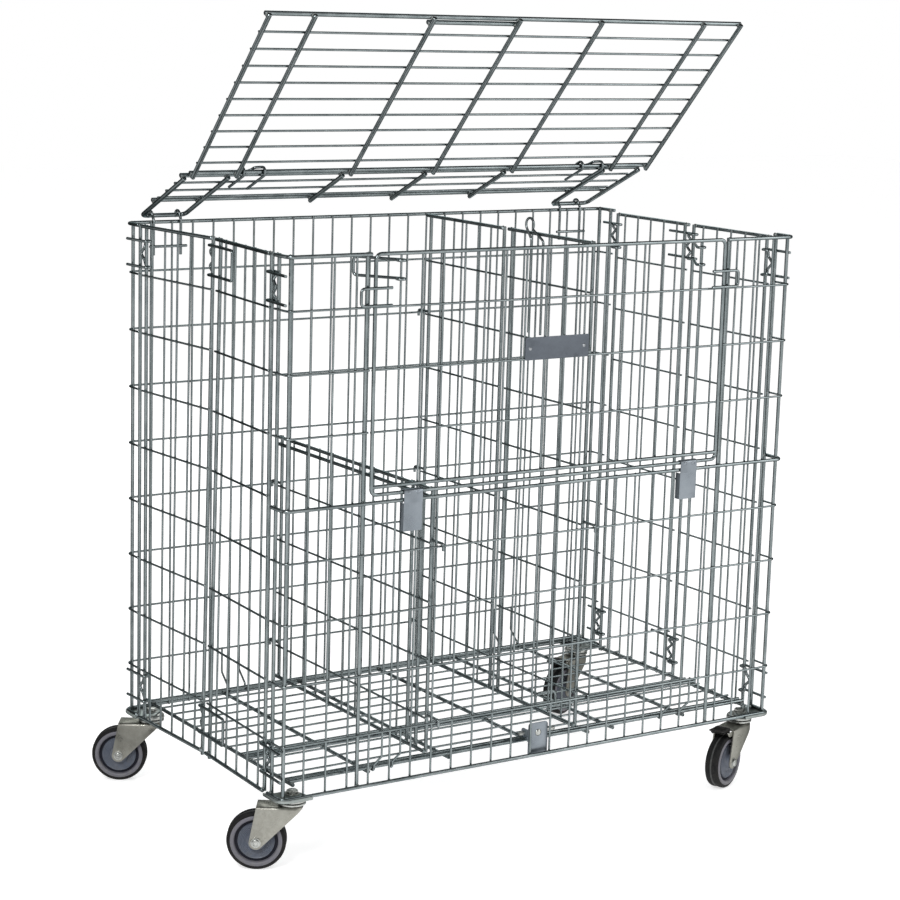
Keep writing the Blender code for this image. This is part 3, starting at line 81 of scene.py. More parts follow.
# Outlines of the swivel head: radius, height over its upper face
RACE_CUP = (
    (0.0, 0.0), (0.0175, 0.0), (0.0205, -0.0006), (0.0227, -0.0026), (0.0235, -0.0050), (0.0235, -0.0074),
    (0.0221, -0.0076), (0.0, -0.0076),
)
# The gap ring is given a near-black finish: painted shade in the recess between cup and base
RACE_GAP = ((0.0, -0.0070), (0.0201, -0.0070), (0.0201, -0.0100), (0.0, -0.0100))
RACE_BASE = (
    (0.0, -0.0094), (0.0215, -0.0094), (0.0229, -0.0106), (0.0229, -0.0128), (0.0205, -0.0144),
    (0.0187, -0.0150), (0.0, -0.0150),
)

# Outlines of one side of the wheel's parts: radius from the axle, distance from the wheel's middle
TYRE_WALL = (
    (0.0420, 0.0105), (0.0425, 0.0122), (0.0436, 0.0132), (0.0452, 0.0127), (0.0470, 0.0119), (0.0484, 0.0111),
)
TREAD = (
    (0.0470, 0.0105), (0.0484, 0.0110), (0.04902, 0.0100), (0.04932, 0.0084), (0.04932, 0.0040),
    (0.04812, 0.0030), (0.04792, 0.0004),
)
SCUFF = ((0.0440, 0.0030), (0.04822, 0.0029), (0.04842, 0.0015), (0.04862, 0.0004))
RIM = (
    (0.0358, 0.0080), (0.0362, 0.0126), (0.0370, 0.0138), (0.0386, 0.0144), (0.0412, 0.0142),
    (0.0430, 0.0132), (0.0434, 0.0115),
)
# The groove is the floor of the recess between rim and disc, given a near-black finish as painted shade
GROOVE = ((0.0285, 0.0060), (0.0300, 0.0074), (0.0364, 0.0074))
RIPPLE = ((0.0156, 0.0118), (0.0165, 0.0108), (0.0174, 0.0117))
DISC = (
    (0.0047, 0.0180), (0.0112, 0.0180), (0.0122, 0.0172), (0.0132, 0.0135), (0.0142, 0.0122),
    *((out + 0.0024 * i, depth - 0.0001 * i) for i in range(6) for out, depth in RIPPLE),
    (0.0300, 0.0114), (0.0306, 0.0104), (0.0308, 0.0070),
)

# Brake pedal from the side: distance behind its pivot, height over it
PEDAL = (
    (0.0016, 0.0), (0.010, 0.0006), (0.020, 0.0001), (0.030, 0.0002), (0.035, 0.0009), (0.036, -0.0006),
    (0.0346, -0.0026), (0.0300, -0.0030), (0.0255, -0.0036), (0.0260, -0.0050), (0.0294, -0.0052),
    (0.0288, -0.0068), (0.014, -0.0080), (0.0022, -0.0096),
)
# Side of the pedal's bracket: distance behind the stem, drop below the fork's top
BRACKET = (
    (0.046, 0.0), (0.0765, 0.0), (0.0750, 0.0030), (0.0725, 0.0062), (0.0700, 0.0080), (0.0675, 0.0072),
    (0.0650, 0.0090), (0.0620, 0.0078), (0.0590, 0.0094), (0.0550, 0.0086), (0.046, 0.0096),
)


@dataclass(frozen=True)
class Gauge:
    """A round wire's size, and how many sides its mesh has."""

    radius: float
    sides: int

    @property
    def off(self) -> float:
        """Distance of the wire's middle from a weld line."""
        return self.radius - SINK / 2


FRAME = Gauge(0.00325, 14)
MESH = Gauge(0.0019, 10)
LID_FRAME = Gauge(0.0040, 14)
LID_MESH = Gauge(0.0020, 10)
CLIP = Gauge(0.0025, 12)
PIN = Gauge(0.00225, 12)


class Side(Enum):
    """A folding side of the cage."""

    LEFT = "left"
    RIGHT = "right"


class Face(Enum):
    """A long face of the cage, with the direction that points out of it along Y."""

    FRONT = -1
    REAR = 1

    @property
    def word(self) -> str:
        """The face's name in piece names."""
        return self.name.lower()


@dataclass(frozen=True)
class Layout:
    """Places on the cage that more than one sub-assembly uses."""

    length: float = 1.025
    depth: float = 0.5665
    height: float = 0.880
    pitch: float = 0.041
    spaces: int = 25
    front_rail: float = 0.477
    opening_left: float = 0.143
    side_start: float = 0.062
    side_gap: float = 0.026
    return_depth: float = 0.038
    rail_bend: float = 0.013

    @property
    def levels(self) -> list[float]:
        """Heights of the level mesh wires."""
        return [0.088 + 0.101 * i for i in range(8)]

    @property
    def middle(self) -> float:
        """Distance of a side's middle post from the nearer end of the cage."""
        return (self.depth - self.side_gap) / 2

    @property
    def corner_in(self) -> float:
        """How far inside both weld lines a corner post stands, so that it touches the bent rails."""
        reach = 2 * FRAME.radius - SINK + (math.sqrt(2) - 1) * self.rail_bend
        return reach / math.sqrt(2) - FRAME.off

    def line(self, face: Face) -> float:
        """Depth of a face's weld line."""
        return 0.0 if face is Face.FRONT else self.depth

    def mirror(self, x: float) -> float:
        """The same place seen from the other end of the cage."""
        return self.length - x

    def bend(self, gauge: Gauge) -> float:
        """Radius at which a level wire of this gauge bends round a corner post."""
        reach = FRAME.radius + gauge.radius - SINK
        return (math.sqrt(2) * (self.corner_in + gauge.off) - reach) / (math.sqrt(2) - 1)


CAGE = Layout()


def rounded(points: Row, radius: float, closed: bool = False) -> list[Vector]:
    """Round the corners of a run of points.

    Args:
        points: corners of the run.
        radius: bend radius, made smaller where a leg is too short for it.
        closed: whether the last point joins the first.

    Returns:
        The points of the rounded run.
    """
    corners = [Vector(p) for p in points]
    count = len(corners)
    path = []
    for i, corner in enumerate(corners):
        if not closed and i in (0, count - 1):
            path.append(corner)
            continue
        back = corners[i - 1] - corner
        ahead = corners[(i + 1) % count] - corner
        turn = math.pi - back.angle(ahead)
        if turn < math.radians(1):
            path.append(corner)
            continue
        reach = min(radius * math.tan(turn / 2), 0.49 * back.length, 0.49 * ahead.length)
        bend = reach / math.tan(turn / 2)
        inward = (back.normalized() + ahead.normalized()).normalized()
        centre = corner + inward * (bend / math.cos(turn / 2))
        first = (corner + back.normalized() * reach - centre).normalized()
        last = (corner + ahead.normalized() * reach - centre).normalized()
        steps = max(1, math.ceil(turn / BEND_STEP))
        path += [centre + first.slerp(last, k / steps) * bend for k in range(steps + 1)]
    return path


def sweep(path: Sequence[Vector], gauge: Gauge, closed: bool) -> Shell:
    """Draw a round wire along a path by extruding a ring from point to point.

    Args:
        path: points of the wire's middle.
        gauge: the wire.
        closed: whether the last point joins the first.

    Returns:
        A bmesh of the closed wire.
    """
    part = bmesh.new()
    count = len(path)
    tangents = []
    for i in range(count):
        back = path[i - 1] if closed or i else path[i]
        ahead = path[(i + 1) % count] if closed or i < count - 1 else path[i]
        tangents.append((ahead - back).normalized())
    turned = tangents[0].to_track_quat("Z", "Y").to_matrix()
    place = Matrix.Translation(path[0]) @ turned.to_4x4()
    bmesh.ops.create_circle(part, cap_ends=False, segments=gauge.sides, radius=gauge.radius, matrix=place)
    first = edges = list(part.edges)
    for i in range(1, count):
        turned = tangents[i - 1].rotation_difference(tangents[i]).to_matrix() @ turned
        then = Matrix.Translation(path[i]) @ turned.to_4x4()
        made = bmesh.ops.extrude_edge_only(part, edges=edges)["geom"]
        verts = {item for item in made if isinstance(item, bmesh.types.BMVert)}
        edges = [e for e in made if isinstance(e, bmesh.types.BMEdge) and all(v in verts for v in e.verts)]
        bmesh.ops.transform(part, matrix=then @ place.inverted(), verts=list(verts))
        place = then
    if closed:
        bmesh.ops.bridge_loops(part, edges=first + edges)
    else:
        bmesh.ops.holes_fill(part, edges=[e for e in part.edges if e.is_boundary], sides=0)
    return part


def facing(at: Point, way: float = 1.0) -> Matrix:
    """Matrix that lays a Z axis along Y at a point, towards the front unless its way is negative."""
    return Matrix.Translation(at) @ Matrix.Rotation(math.copysign(math.pi / 2, way), 4, "X")


def as_mesh(name: str, part: Shell) -> bpy.types.Mesh:
    """Turn a bmesh into a mesh and free it.

    Args:
        name: the mesh's name.
        part: the bmesh.

    Returns:
        The mesh.
    """
    mesh = bpy.data.meshes.new(name)
    part.to_mesh(mesh)
    part.free()
    return mesh


def add_object(name: str, data: bpy.types.ID) -> bpy.types.Object:
    """Put an object in the scene.

    Args:
        name: the object's name.
        data: its mesh, lamp or camera.

    Returns:
        The object.
    """
    made = bpy.data.objects.new(name, data)
    bpy.context.scene.collection.objects.link(made)
    return made


def bevel(part: Shell, geom: Iterable, offset: float, segments: int = 1, kind: str = "EDGES") -> None:
    """Round edges or corners.

    Args:
        part: the shell.
        geom: the edges or vertices.
        offset: width of the rounding.
        segments: steps across it.
        kind: EDGES or VERTICES.
    """
    bmesh.ops.bevel(
        part, geom=geom, offset=offset, offset_type="OFFSET", segments=segments, profile=0.5,
        affect=kind, material=-1, clamp_overlap=kind == "EDGES",
    )


def bevel_ends(part: Shell, offset: float, segments: int = 1) -> None:
    """Take the sharp edge off a bar's ends, the only faces with more than four sides."""
    bevel(part, [e for e in part.edges if any(len(f.verts) > 4 for f in e.link_faces)], offset, segments)


def bevel_creases(part: Shell, offset: float, segments: int, angle: float = 30.0) -> None:
    """Round every edge where two faces meet at more than this angle in degrees."""
    sharp = math.radians(angle)
    bevel(part, [e for e in part.edges if len(e.link_faces) == 2 and e.calc_face_angle(0.0) > sharp], offset, segments)


def shift(part: Shell, made: Iterable, vec: Point) -> None:
    """Move the vertices among what was just extruded."""
    bmesh.ops.translate(part, verts=[item for item in made if isinstance(item, bmesh.types.BMVert)], vec=vec)


class Work:
    """One visible piece while it is made: a bmesh that gathers wires, weld spots and solids."""

    spot: Optional[bpy.types.Mesh] = None

    def __init__(self, place: Optional[Matrix] = None) -> None:
        """Start with nothing, at this place in the cage's frame."""
        self.shape = bmesh.new()
        self.place = place or Matrix()

    def take(self, part: Shell, finish: int = 0, place: Optional[Matrix] = None) -> None:
        """Add one closed shell and free it.

        Args:
            part: the shell.
            finish: index of its finish on the piece.
            place: where it goes, if it was made at the origin.
        """
        bmesh.ops.recalc_face_normals(part, faces=part.faces)
        for face in part.faces:
            face.smooth = True
            face.material_index = finish
        scratch = as_mesh("scratch", part)
        if place is not None:
            scratch.transform(place)
        self.shape.from_mesh(scratch)
        bpy.data.meshes.remove(scratch)

    def straight(self, start: Point, stop: Point, gauge: Gauge) -> None:
        """Add a straight wire."""
        self.rod(start, stop, gauge.radius, gauge.sides, 0, gauge.radius * END_CHAMFER, 1)

    def upright(self, x: float, y: float, low: float, high: float, gauge: Gauge) -> None:
        """Add an upright wire that is welded between these heights."""
        self.straight((x, y, low - UPRIGHT_TAIL), (x, y, high + UPRIGHT_TAIL), gauge)

    def bent(self, points: Row, gauge: Gauge, radius: float, closed: bool = False) -> None:
        """Add a bent wire.

        Args:
            points: corners of its middle line.
            gauge: the wire.
            radius: bend radius at the corners.
            closed: whether it is a closed loop.
        """
        part = sweep(rounded(points, radius, closed), gauge, closed)
        if not closed:
            bevel_ends(part, gauge.radius * END_CHAMFER)
        self.take(part)

    def weld(self, at: Point, across: Point, thick: float) -> None:
        """Add the squashed spot where two wires are welded.

        Args:
            at: the point where the wires meet.
            across: direction from one wire to the other.
            thick: radius of the thinner wire.
        """
        if Work.spot is None or Work.spot.name not in bpy.data.meshes:
            part = bmesh.new()
            bmesh.ops.create_uvsphere(part, u_segments=8, v_segments=4, radius=1.0)
            for face in part.faces:
                face.smooth = True
                face.material_index = 1
            Work.spot = as_mesh("spot", part)
        turn = Vector(across).to_track_quat("Z", "Y").to_matrix().to_4x4()
        size = Matrix.Diagonal((*(share * thick for share in WELD_SIZE), 1.0))
        place = Matrix.Translation(at) @ turn @ size
        Work.spot.transform(place)
        self.shape.from_mesh(Work.spot)
        Work.spot.transform(place.inverted())

    def rod(self, start: Point, stop: Point, radius: float, sides: int = 32, finish: int = 0,
            rim: float = 0.0004, steps: int = 2) -> None:
        """Add a straight bar or nut with softened ends.

        Args:
            start: middle of one end.
            stop: middle of the other.
            radius: corner radius.
            sides: number of sides, six for a nut.
            finish: index of its finish.
            rim: rounding of its ends.
            steps: steps across the rounding.
        """
        first, last = Vector(start), Vector(stop)
        along = last - first
        place = Matrix.Translation((first + last) / 2) @ along.to_track_quat("Z", "Y").to_matrix().to_4x4()
        part = bmesh.new()
        bmesh.ops.create_cone(
            part, cap_ends=True, segments=sides, radius1=radius, radius2=radius, depth=along.length, matrix=place,
        )
        bevel_ends(part, rim, steps)
        self.take(part, finish)

    def turned(self, outline: Sequence[tuple[float, float]], place: Matrix, steps: int = 48, finish: int = 0,
               closed: bool = False) -> None:
        """Add a piece turned about its own Z axis.

        Args:
            outline: (radius, height) points from one end to the other.
            place: where its axis goes.
            steps: sides of the full turn.
            finish: index of its finish.
            closed: whether the outline closes on itself, as on a ring.
        """
        part = bmesh.new()
        verts = [part.verts.new((r, 0.0, z)) for r, z in outline]
        pairs = list(zip(verts, verts[1:])) + ([(verts[-1], verts[0])] if closed else [])
        edges = [part.edges.new(pair) for pair in pairs]
        bmesh.ops.spin(
            part, geom=verts + edges, cent=(0.0, 0.0, 0.0), axis=ALONG_Z, angle=2 * math.pi,
            steps=steps, use_merge=True, use_duplicate=False,
        )
        bmesh.ops.remove_doubles(part, verts=part.verts, dist=MERGE)
        self.take(part, finish, place)

    def sheet(self, part: Shell, thickness: float, rim: float = 0.0003, folds: float = 0.0) -> None:
        """Give folded faces the thickness of sheet metal, round their edges and add them.

        Args:
            part: bmesh of the sheet's middle surface.
            thickness: sheet thickness.
            rim: rounding of the cut edges.
            folds: rounding of the folds.
        """
        bmesh.ops.remove_doubles(part, verts=part.verts, dist=MERGE)
        if folds:
            bevel_creases(part, folds, 3)
        bmesh.ops.recalc_face_normals(part, faces=part.faces)
        mesh = as_mesh("folded", part)
        holder = add_object("folded", mesh)
        wall = holder.modifiers.new("Sheet", "SOLIDIFY")
        wall.thickness, wall.offset, wall.use_even_offset = thickness, 0.0, True
        edge = holder.modifiers.new("Edges", "BEVEL")
        edge.width, edge.segments, edge.limit_method, edge.angle_limit = rim, 2, "ANGLE", math.radians(40)
        shape = bmesh.new()
        shape.from_object(holder, bpy.context.evaluated_depsgraph_get())
        bpy.data.objects.remove(holder)
        bpy.data.meshes.remove(mesh)
        self.take(shape)

    def plate(self, middle: Point, size: Point, corner: float, rim: float, top_only: bool = False) -> None:
        """Add an upright flat plate with rounded corners.

        Args:
            middle: its middle.
            size: its width, thickness and height.
            corner: radius of its corners.
            rim: rounding of its edges.
            top_only: whether its lower corners stay square.
        """
        width, thickness, height = size
        part = bmesh.new()
        bmesh.ops.create_grid(part, x_segments=1, y_segments=1, size=0.5)
        bmesh.ops.transform(part, matrix=facing(middle) @ Matrix.Diagonal((width, height, 1.0, 1.0)), verts=part.verts)
        corners = [v for v in part.verts if v.co.z > middle[2] or not top_only]
        bevel(part, corners, corner, 4, "VERTICES")
        self.sheet(part, thickness, rim)

    def piece(self, name: str, body: str, slot: str, finishes: Iterable[bpy.types.Material], *nodes: str) -> None:
        """Turn the work into an object that stands for CAD nodes.

        Args:
            name: the piece's name.
            body: CAD body that it rides on.
            slot: the record's material slot; not used.
            finishes: its materials, in the order of their indices.
            nodes: CAD nodes that it replaces.
        """
        mesh = as_mesh(name, self.shape)
        mesh.transform(Matrix.Translation(SHIFT) @ self.place)
        for made in finishes:
            mesh.materials.append(made)
        mesh.set_sharp_from_angle(angle=SHARP_ANGLE)
        obj = add_object(name, mesh)
        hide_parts(*nodes)
        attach(obj, body)
        log.info("%s: %d faces on %s", name, len(mesh.polygons), body)


@dataclass(frozen=True)
class Level:
    """A level wire: its gauge, height, and where it starts and stops along the panel."""

    gauge: Gauge
    height: float
    start: Optional[float] = None
    stop: Optional[float] = None

    def meets(self, along: float) -> bool:
        """Whether a wire at this place along the panel crosses it."""
        return (self.start is None or self.start < along) and (self.stop is None or along < self.stop)


@dataclass(frozen=True)
class Upright:
    """An upright wire: its gauge, its place along the panel, and its two ends."""

    gauge: Gauge
    along: float
    low: float
    high: float

    def meets(self, height: float) -> bool:
        """Whether a wire at this height crosses it."""
        return self.low - 0.001 < height < self.high + 0.001


@dataclass
class EndPanel:
    """Front or rear panel of the cage, turned back a little along both sides."""

    face: Face
    hangers: tuple[float, ...] = (0.190, 0.226, 0.799, 0.841)
    hanger_bend: float = 0.026
    hanger_radius: float = 0.0045
    hanger_short: float = 0.001
    floor_rail: float = 0.0179
    floor_front: float = 0.030
    floor_rear: float = 0.536

    @property
    def line(self) -> float:
        """Depth of the panel's weld line."""
        return CAGE.line(self.face)

    def run(self, work: Work, level: Level) -> None:
        """Bend one level wire round the corners that it reaches.

        Args:
            work: the piece being made.
            level: the wire.
        """
        off, out = level.gauge.off, self.face.value
        far = self.line + out * off
        end = self.line - out * (CAGE.return_depth + LEVEL_TAIL)
        left = [(-off, end), (-off, far)] if level.start is None else [(level.start, far)]
        right = [(CAGE.length + off, far), (CAGE.length + off, end)] if level.stop is None else [(level.stop, far)]
        points = [(x, y, level.height) for x, y in left + right]
        work.bent(points, level.gauge, CAGE.bend(level.gauge))

    def uprights(self) -> list[Upright]:
        """The panel's own upright wires, which stand inside its weld line."""
        return [Upright(MESH, CAGE.pitch * i, 0.0, CAGE.height) for i in range(1, CAGE.spaces)]

    def levels(self) -> list[Level]:
        """The panel's level wires."""
        rails = [Level(FRAME, 0.0), Level(FRAME, CAGE.height)]
        return rails + [Level(MESH, z) for z in CAGE.levels]

    def build(self, work: Work) -> None:
        """Make the panel's wires and welds.

        Args:
            work: the piece being made.
        """
        out, levels = self.face.value, self.levels()
        for level in levels:
            self.run(work, level)
        for wire in self.uprights():
            depth = self.line - out * wire.gauge.off
            work.upright(wire.along, depth, wire.low, wire.high, wire.gauge)
            for level in levels:
                if level.meets(wire.along) and wire.meets(level.height):
                    thick = min(wire.gauge.radius, level.gauge.radius)
                    work.weld((wire.along, self.line, level.height), ALONG_Y, thick)
        self.corners(work, levels)
        self.hang(work)

    def corners(self, work: Work, levels: Sequence[Level]) -> None:
        """Stand the thick posts in the bends and at the ends of the parts that are turned back.

        Args:
            work: the piece being made.
            levels: the panel's level wires.
        """
        out = self.face.value
        for mirrored in (False, True):
            for x, inward, across in (
                (FRAME.off, CAGE.return_depth, ALONG_X),
                (CAGE.corner_in, CAGE.corner_in, (1.0 if not mirrored else -1.0, -out, 0.0)),
            ):
                at = CAGE.mirror(x) if mirrored else x
                depth = self.line - out * inward
                work.upright(at, depth, 0.0, CAGE.height, FRAME)
                reach = Vector(across).normalized() * (FRAME.radius - SINK / 2)
                for level in levels:
                    if level.meets(CAGE.length if mirrored else 0.0):
                        work.weld(Vector((at, depth, level.height)) - reach, across, level.gauge.radius)

    def hang(self, work: Work) -> None:
        """Drop the hangers from the first level and hook them under the floor's end rail.

        Args:
            work: the piece being made.
        """
        inward = -self.face.value
        rail = self.floor_front if self.face is Face.FRONT else self.floor_rear
        start = self.line + inward * MESH.off
        clear = FRAME.radius + MESH.radius + TOUCH
        near, past = rail - inward * clear, rail + inward * clear
        foot = self.floor_rail - clear
        for x in self.hangers:
            work.bent(
                [
                    (x, start, CAGE.levels[0] + UPRIGHT_TAIL), (x, start, self.floor_rail + self.hanger_bend),
                    (x, near, self.floor_rail + clear), (x, near, foot), (x, past, foot),
                    (x, past, self.floor_rail - self.hanger_short),
                ],
                MESH, self.hanger_radius,
            )
            work.weld((x, self.line, CAGE.levels[0]), ALONG_Y, MESH.radius)


@dataclass
class FrontPanel(EndPanel):
    """Front panel: a lower half, and a column at each side of the gate."""

    gate_levels_from: int = 5

    def uprights(self) -> list[Upright]:
        """List the thin wires, shorter under the gate, and the two posts beside it.

        Returns:
            The upright wires.
        """
        left, right = CAGE.opening_left, CAGE.mirror(CAGE.opening_left)
        wires = [Upright(FRAME, x, 0.0, CAGE.height) for x in (left, right)]
        for i in range(1, CAGE.spaces):
            x = CAGE.pitch * i
            wires.append(Upright(MESH, x, 0.0, CAGE.front_rail if left < x < right else CAGE.height))
        return wires

    def levels(self) -> list[Level]:
        """List the level wires, cut off at the opening above the front rail.

        Returns:
            The level wires.
        """
        left, right = CAGE.opening_left + LEVEL_TAIL, CAGE.mirror(CAGE.opening_left) - LEVEL_TAIL
        rows = [Level(FRAME, 0.0), Level(FRAME, CAGE.front_rail)]
        rows += [Level(FRAME, CAGE.height, stop=left), Level(FRAME, CAGE.height, start=right)]
        for i, z in enumerate(CAGE.levels):
            if z < CAGE.front_rail - 0.01:
                rows.append(Level(MESH, z))
            elif i >= self.gate_levels_from:
                rows += [Level(MESH, z, stop=left), Level(MESH, z, start=right)]
        return rows


@dataclass
class FoldingSide:
    """One folding side of the cage: two leaves that a middle hinge joins."""

    side: Side
    drop: float
    bow_low: float
    bow_high: float
    uprights: int = 5
    first: float = 0.022
    pitch: float = 0.040
    middle_foot: float = 0.010

    @property
    def leaf(self) -> float:
        """Length of a leaf between its two posts."""
        return CAGE.middle - CAGE.side_start

    def drawn(self, depth: float, height: float, half: Optional[Face] = None) -> float:
        """How far the side is drawn in at a place.

        Args:
            depth: place along the side.
            height: place up the side.
            half: the leaf whose own wires run on straight past its ends.

        Returns:
            Distance inwards from the straight side.
        """
        most = self.bow_low + (self.bow_high - self.bow_low) * height / CAGE.height
        shares = {
            Face.FRONT: (depth - CAGE.side_start) / self.leaf,
            Face.REAR: (CAGE.depth - CAGE.side_start - depth) / self.leaf,
        }
        return most * (shares[half] if half else min(max(min(shares.values()), 0.0), 1.0))

    def point(self, out: float, depth: float, height: float, half: Optional[Face] = None) -> Point:
        """Point this far outside the side's weld line, on a leaf or on the side as a whole."""
        x = self.drawn(depth, height, half) - out
        return (x if self.side is Side.LEFT else CAGE.mirror(x), depth, height)

    def build_leaf(self, work: Work, half: Face) -> None:
        """Make the wires and welds of one leaf.

        Args:
            work: the piece being made.
            half: which end of the cage the leaf hangs from.
        """

        def at(out: float, along: float, height: float) -> Point:
            """Point of the leaf, measured along the side from its own end of the cage."""
            depth = along if half is Face.FRONT else CAGE.depth - along
            return self.point(out, depth, height - self.drop, half)

        rows = [(FRAME, 0.0), (FRAME, CAGE.height)] + [(MESH, z) for z in CAGE.levels]
        for gauge, z in rows:
            work.straight(
                at(gauge.off, CAGE.side_start - LEVEL_TAIL, z), at(gauge.off, CAGE.middle + LEVEL_TAIL, z), gauge
            )
        first = CAGE.side_start + self.first
        columns = [(MESH, first + self.pitch * i, UPRIGHT_TAIL) for i in range(self.uprights)]
        columns += [(FRAME, CAGE.side_start, UPRIGHT_TAIL), (FRAME, CAGE.middle, self.middle_foot)]
        for gauge, along, foot in columns:
            work.straight(at(-gauge.off, along, -foot), at(-gauge.off, along, CAGE.height + UPRIGHT_TAIL), gauge)
            for row, z in rows:
                work.weld(at(0.0, along, z), ALONG_X, min(gauge.radius, row.radius))


@dataclass(frozen=True)
class ClipLegs:
    """Heights of a hinge clip's two legs."""

    low: float
    high: float

    def lowered(self, drop: float) -> "ClipLegs":
        """The same legs on a side that hangs lower."""
        return ClipLegs(self.low - drop, self.high - drop)


@dataclass
class HingeClips:
    """Bent wire clips that a folding side turns on."""

    shape: FoldingSide
    front: ClipLegs = ClipLegs(0.8055, 0.851)
    rear: ClipLegs = ClipLegs(0.8095, 0.8545)
    bottom: ClipLegs = ClipLegs(0.0315, 0.078)
    left_middle: ClipLegs = ClipLegs(0.8185, 0.868)
    right_middle: ClipLegs = ClipLegs(0.812, 0.858)
    nose: float = 0.208
    end: float = 0.350
    bend: float = 0.0042

    @property
    def out(self) -> float:
        """How far outside the weld line a clip's legs run."""
        return SINK / 2 + TOUCH + CLIP.radius

    @property
    def behind(self) -> float:
        """How far inside the weld line a clip passes behind a post."""
        return 2 * FRAME.radius - SINK / 2 + TOUCH + CLIP.radius

    def zigzag(self, work: Work, half: Face, legs: ClipLegs, start: float, post: float, between: float) -> None:
        """Bend a clip that starts outside the side, wraps a post and turns back in a zigzag beside it.

        Args:
            work: the piece being made.
            half: the leaf whose post it wraps.
            legs: heights of its legs.
            start: where its free ends are, from that leaf's end of the cage.
            post: place of the post.
            between: place of the zigzag.
        """
        clear = FRAME.radius + TOUCH + CLIP.radius
        past, sway, step = post + clear, post - between - clear, (legs.high - legs.low) / 4
        plan = [(self.out, start, legs.high), (self.out, past, legs.high), (-self.behind, past, legs.high)]
        plan += [(-self.behind, between, legs.high), (-FRAME.off, between + sway, legs.high - step)]
        plan += [(-FRAME.off, between - sway, legs.high - 2 * step)]
        plan += [(-FRAME.off, between + sway, legs.high - 3 * step), (-self.behind, between, legs.low)]
        plan += [(-self.behind, past, legs.low), (self.out, past, legs.low), (self.out, start, legs.low)]
        front = half is Face.FRONT
        work.bent([self.shape.point(o, y if front else CAGE.depth - y, z, half) for o, y, z in plan], CLIP, self.bend)

    def corner(self, work: Work, half: Face, legs: ClipLegs) -> None:
        """Bend a clip between a leaf and the part turned back from the front or rear panel.

        Args:
            work: the piece being made.
            half: the leaf.
            legs: heights of its legs.
        """
        start = 0.008
        if half is Face.FRONT:
            start = -0.006 if self.shape.side is Side.LEFT else 0.005
        between = (CAGE.side_start + CAGE.return_depth) / 2
        self.zigzag(work, half, legs, start, CAGE.side_start, between)

    def right_mid(self, work: Work, legs: ClipLegs) -> None:
        """Bend a middle clip of the right side, with its free ends outside the rear leaf."""
        post = (CAGE.depth + CAGE.side_gap) / 2
        self.zigzag(work, Face.REAR, legs, CAGE.depth - self.end, post, CAGE.depth / 2)

    def left_mid(self, work: Work, legs: ClipLegs) -> None:
        """Bend a closed middle clip of the left side, with a rounded nose and a wavy back.

        Args:
            work: the piece being made.
            legs: heights of its legs.
        """
        past = CAGE.depth - CAGE.middle + FRAME.radius + TOUCH + CLIP.radius
        sway, step, out, back = 0.014, (legs.high - legs.low) / 4, self.out, -self.behind
        plan = [
            (out, self.nose, legs.low), (out, self.nose, legs.high), (out, CAGE.middle, legs.high),
            (out, past, legs.high), (back, past, legs.high), (back, past + sway, legs.high - step),
            (back, past, legs.high - 2 * step), (back, past + sway, legs.high - 3 * step),
            (back, past, legs.low), (out, past, legs.low), (out, CAGE.middle, legs.low),
        ]
        work.bent([self.shape.point(o, y, z) for o, y, z in plan], CLIP, self.bend, closed=True)


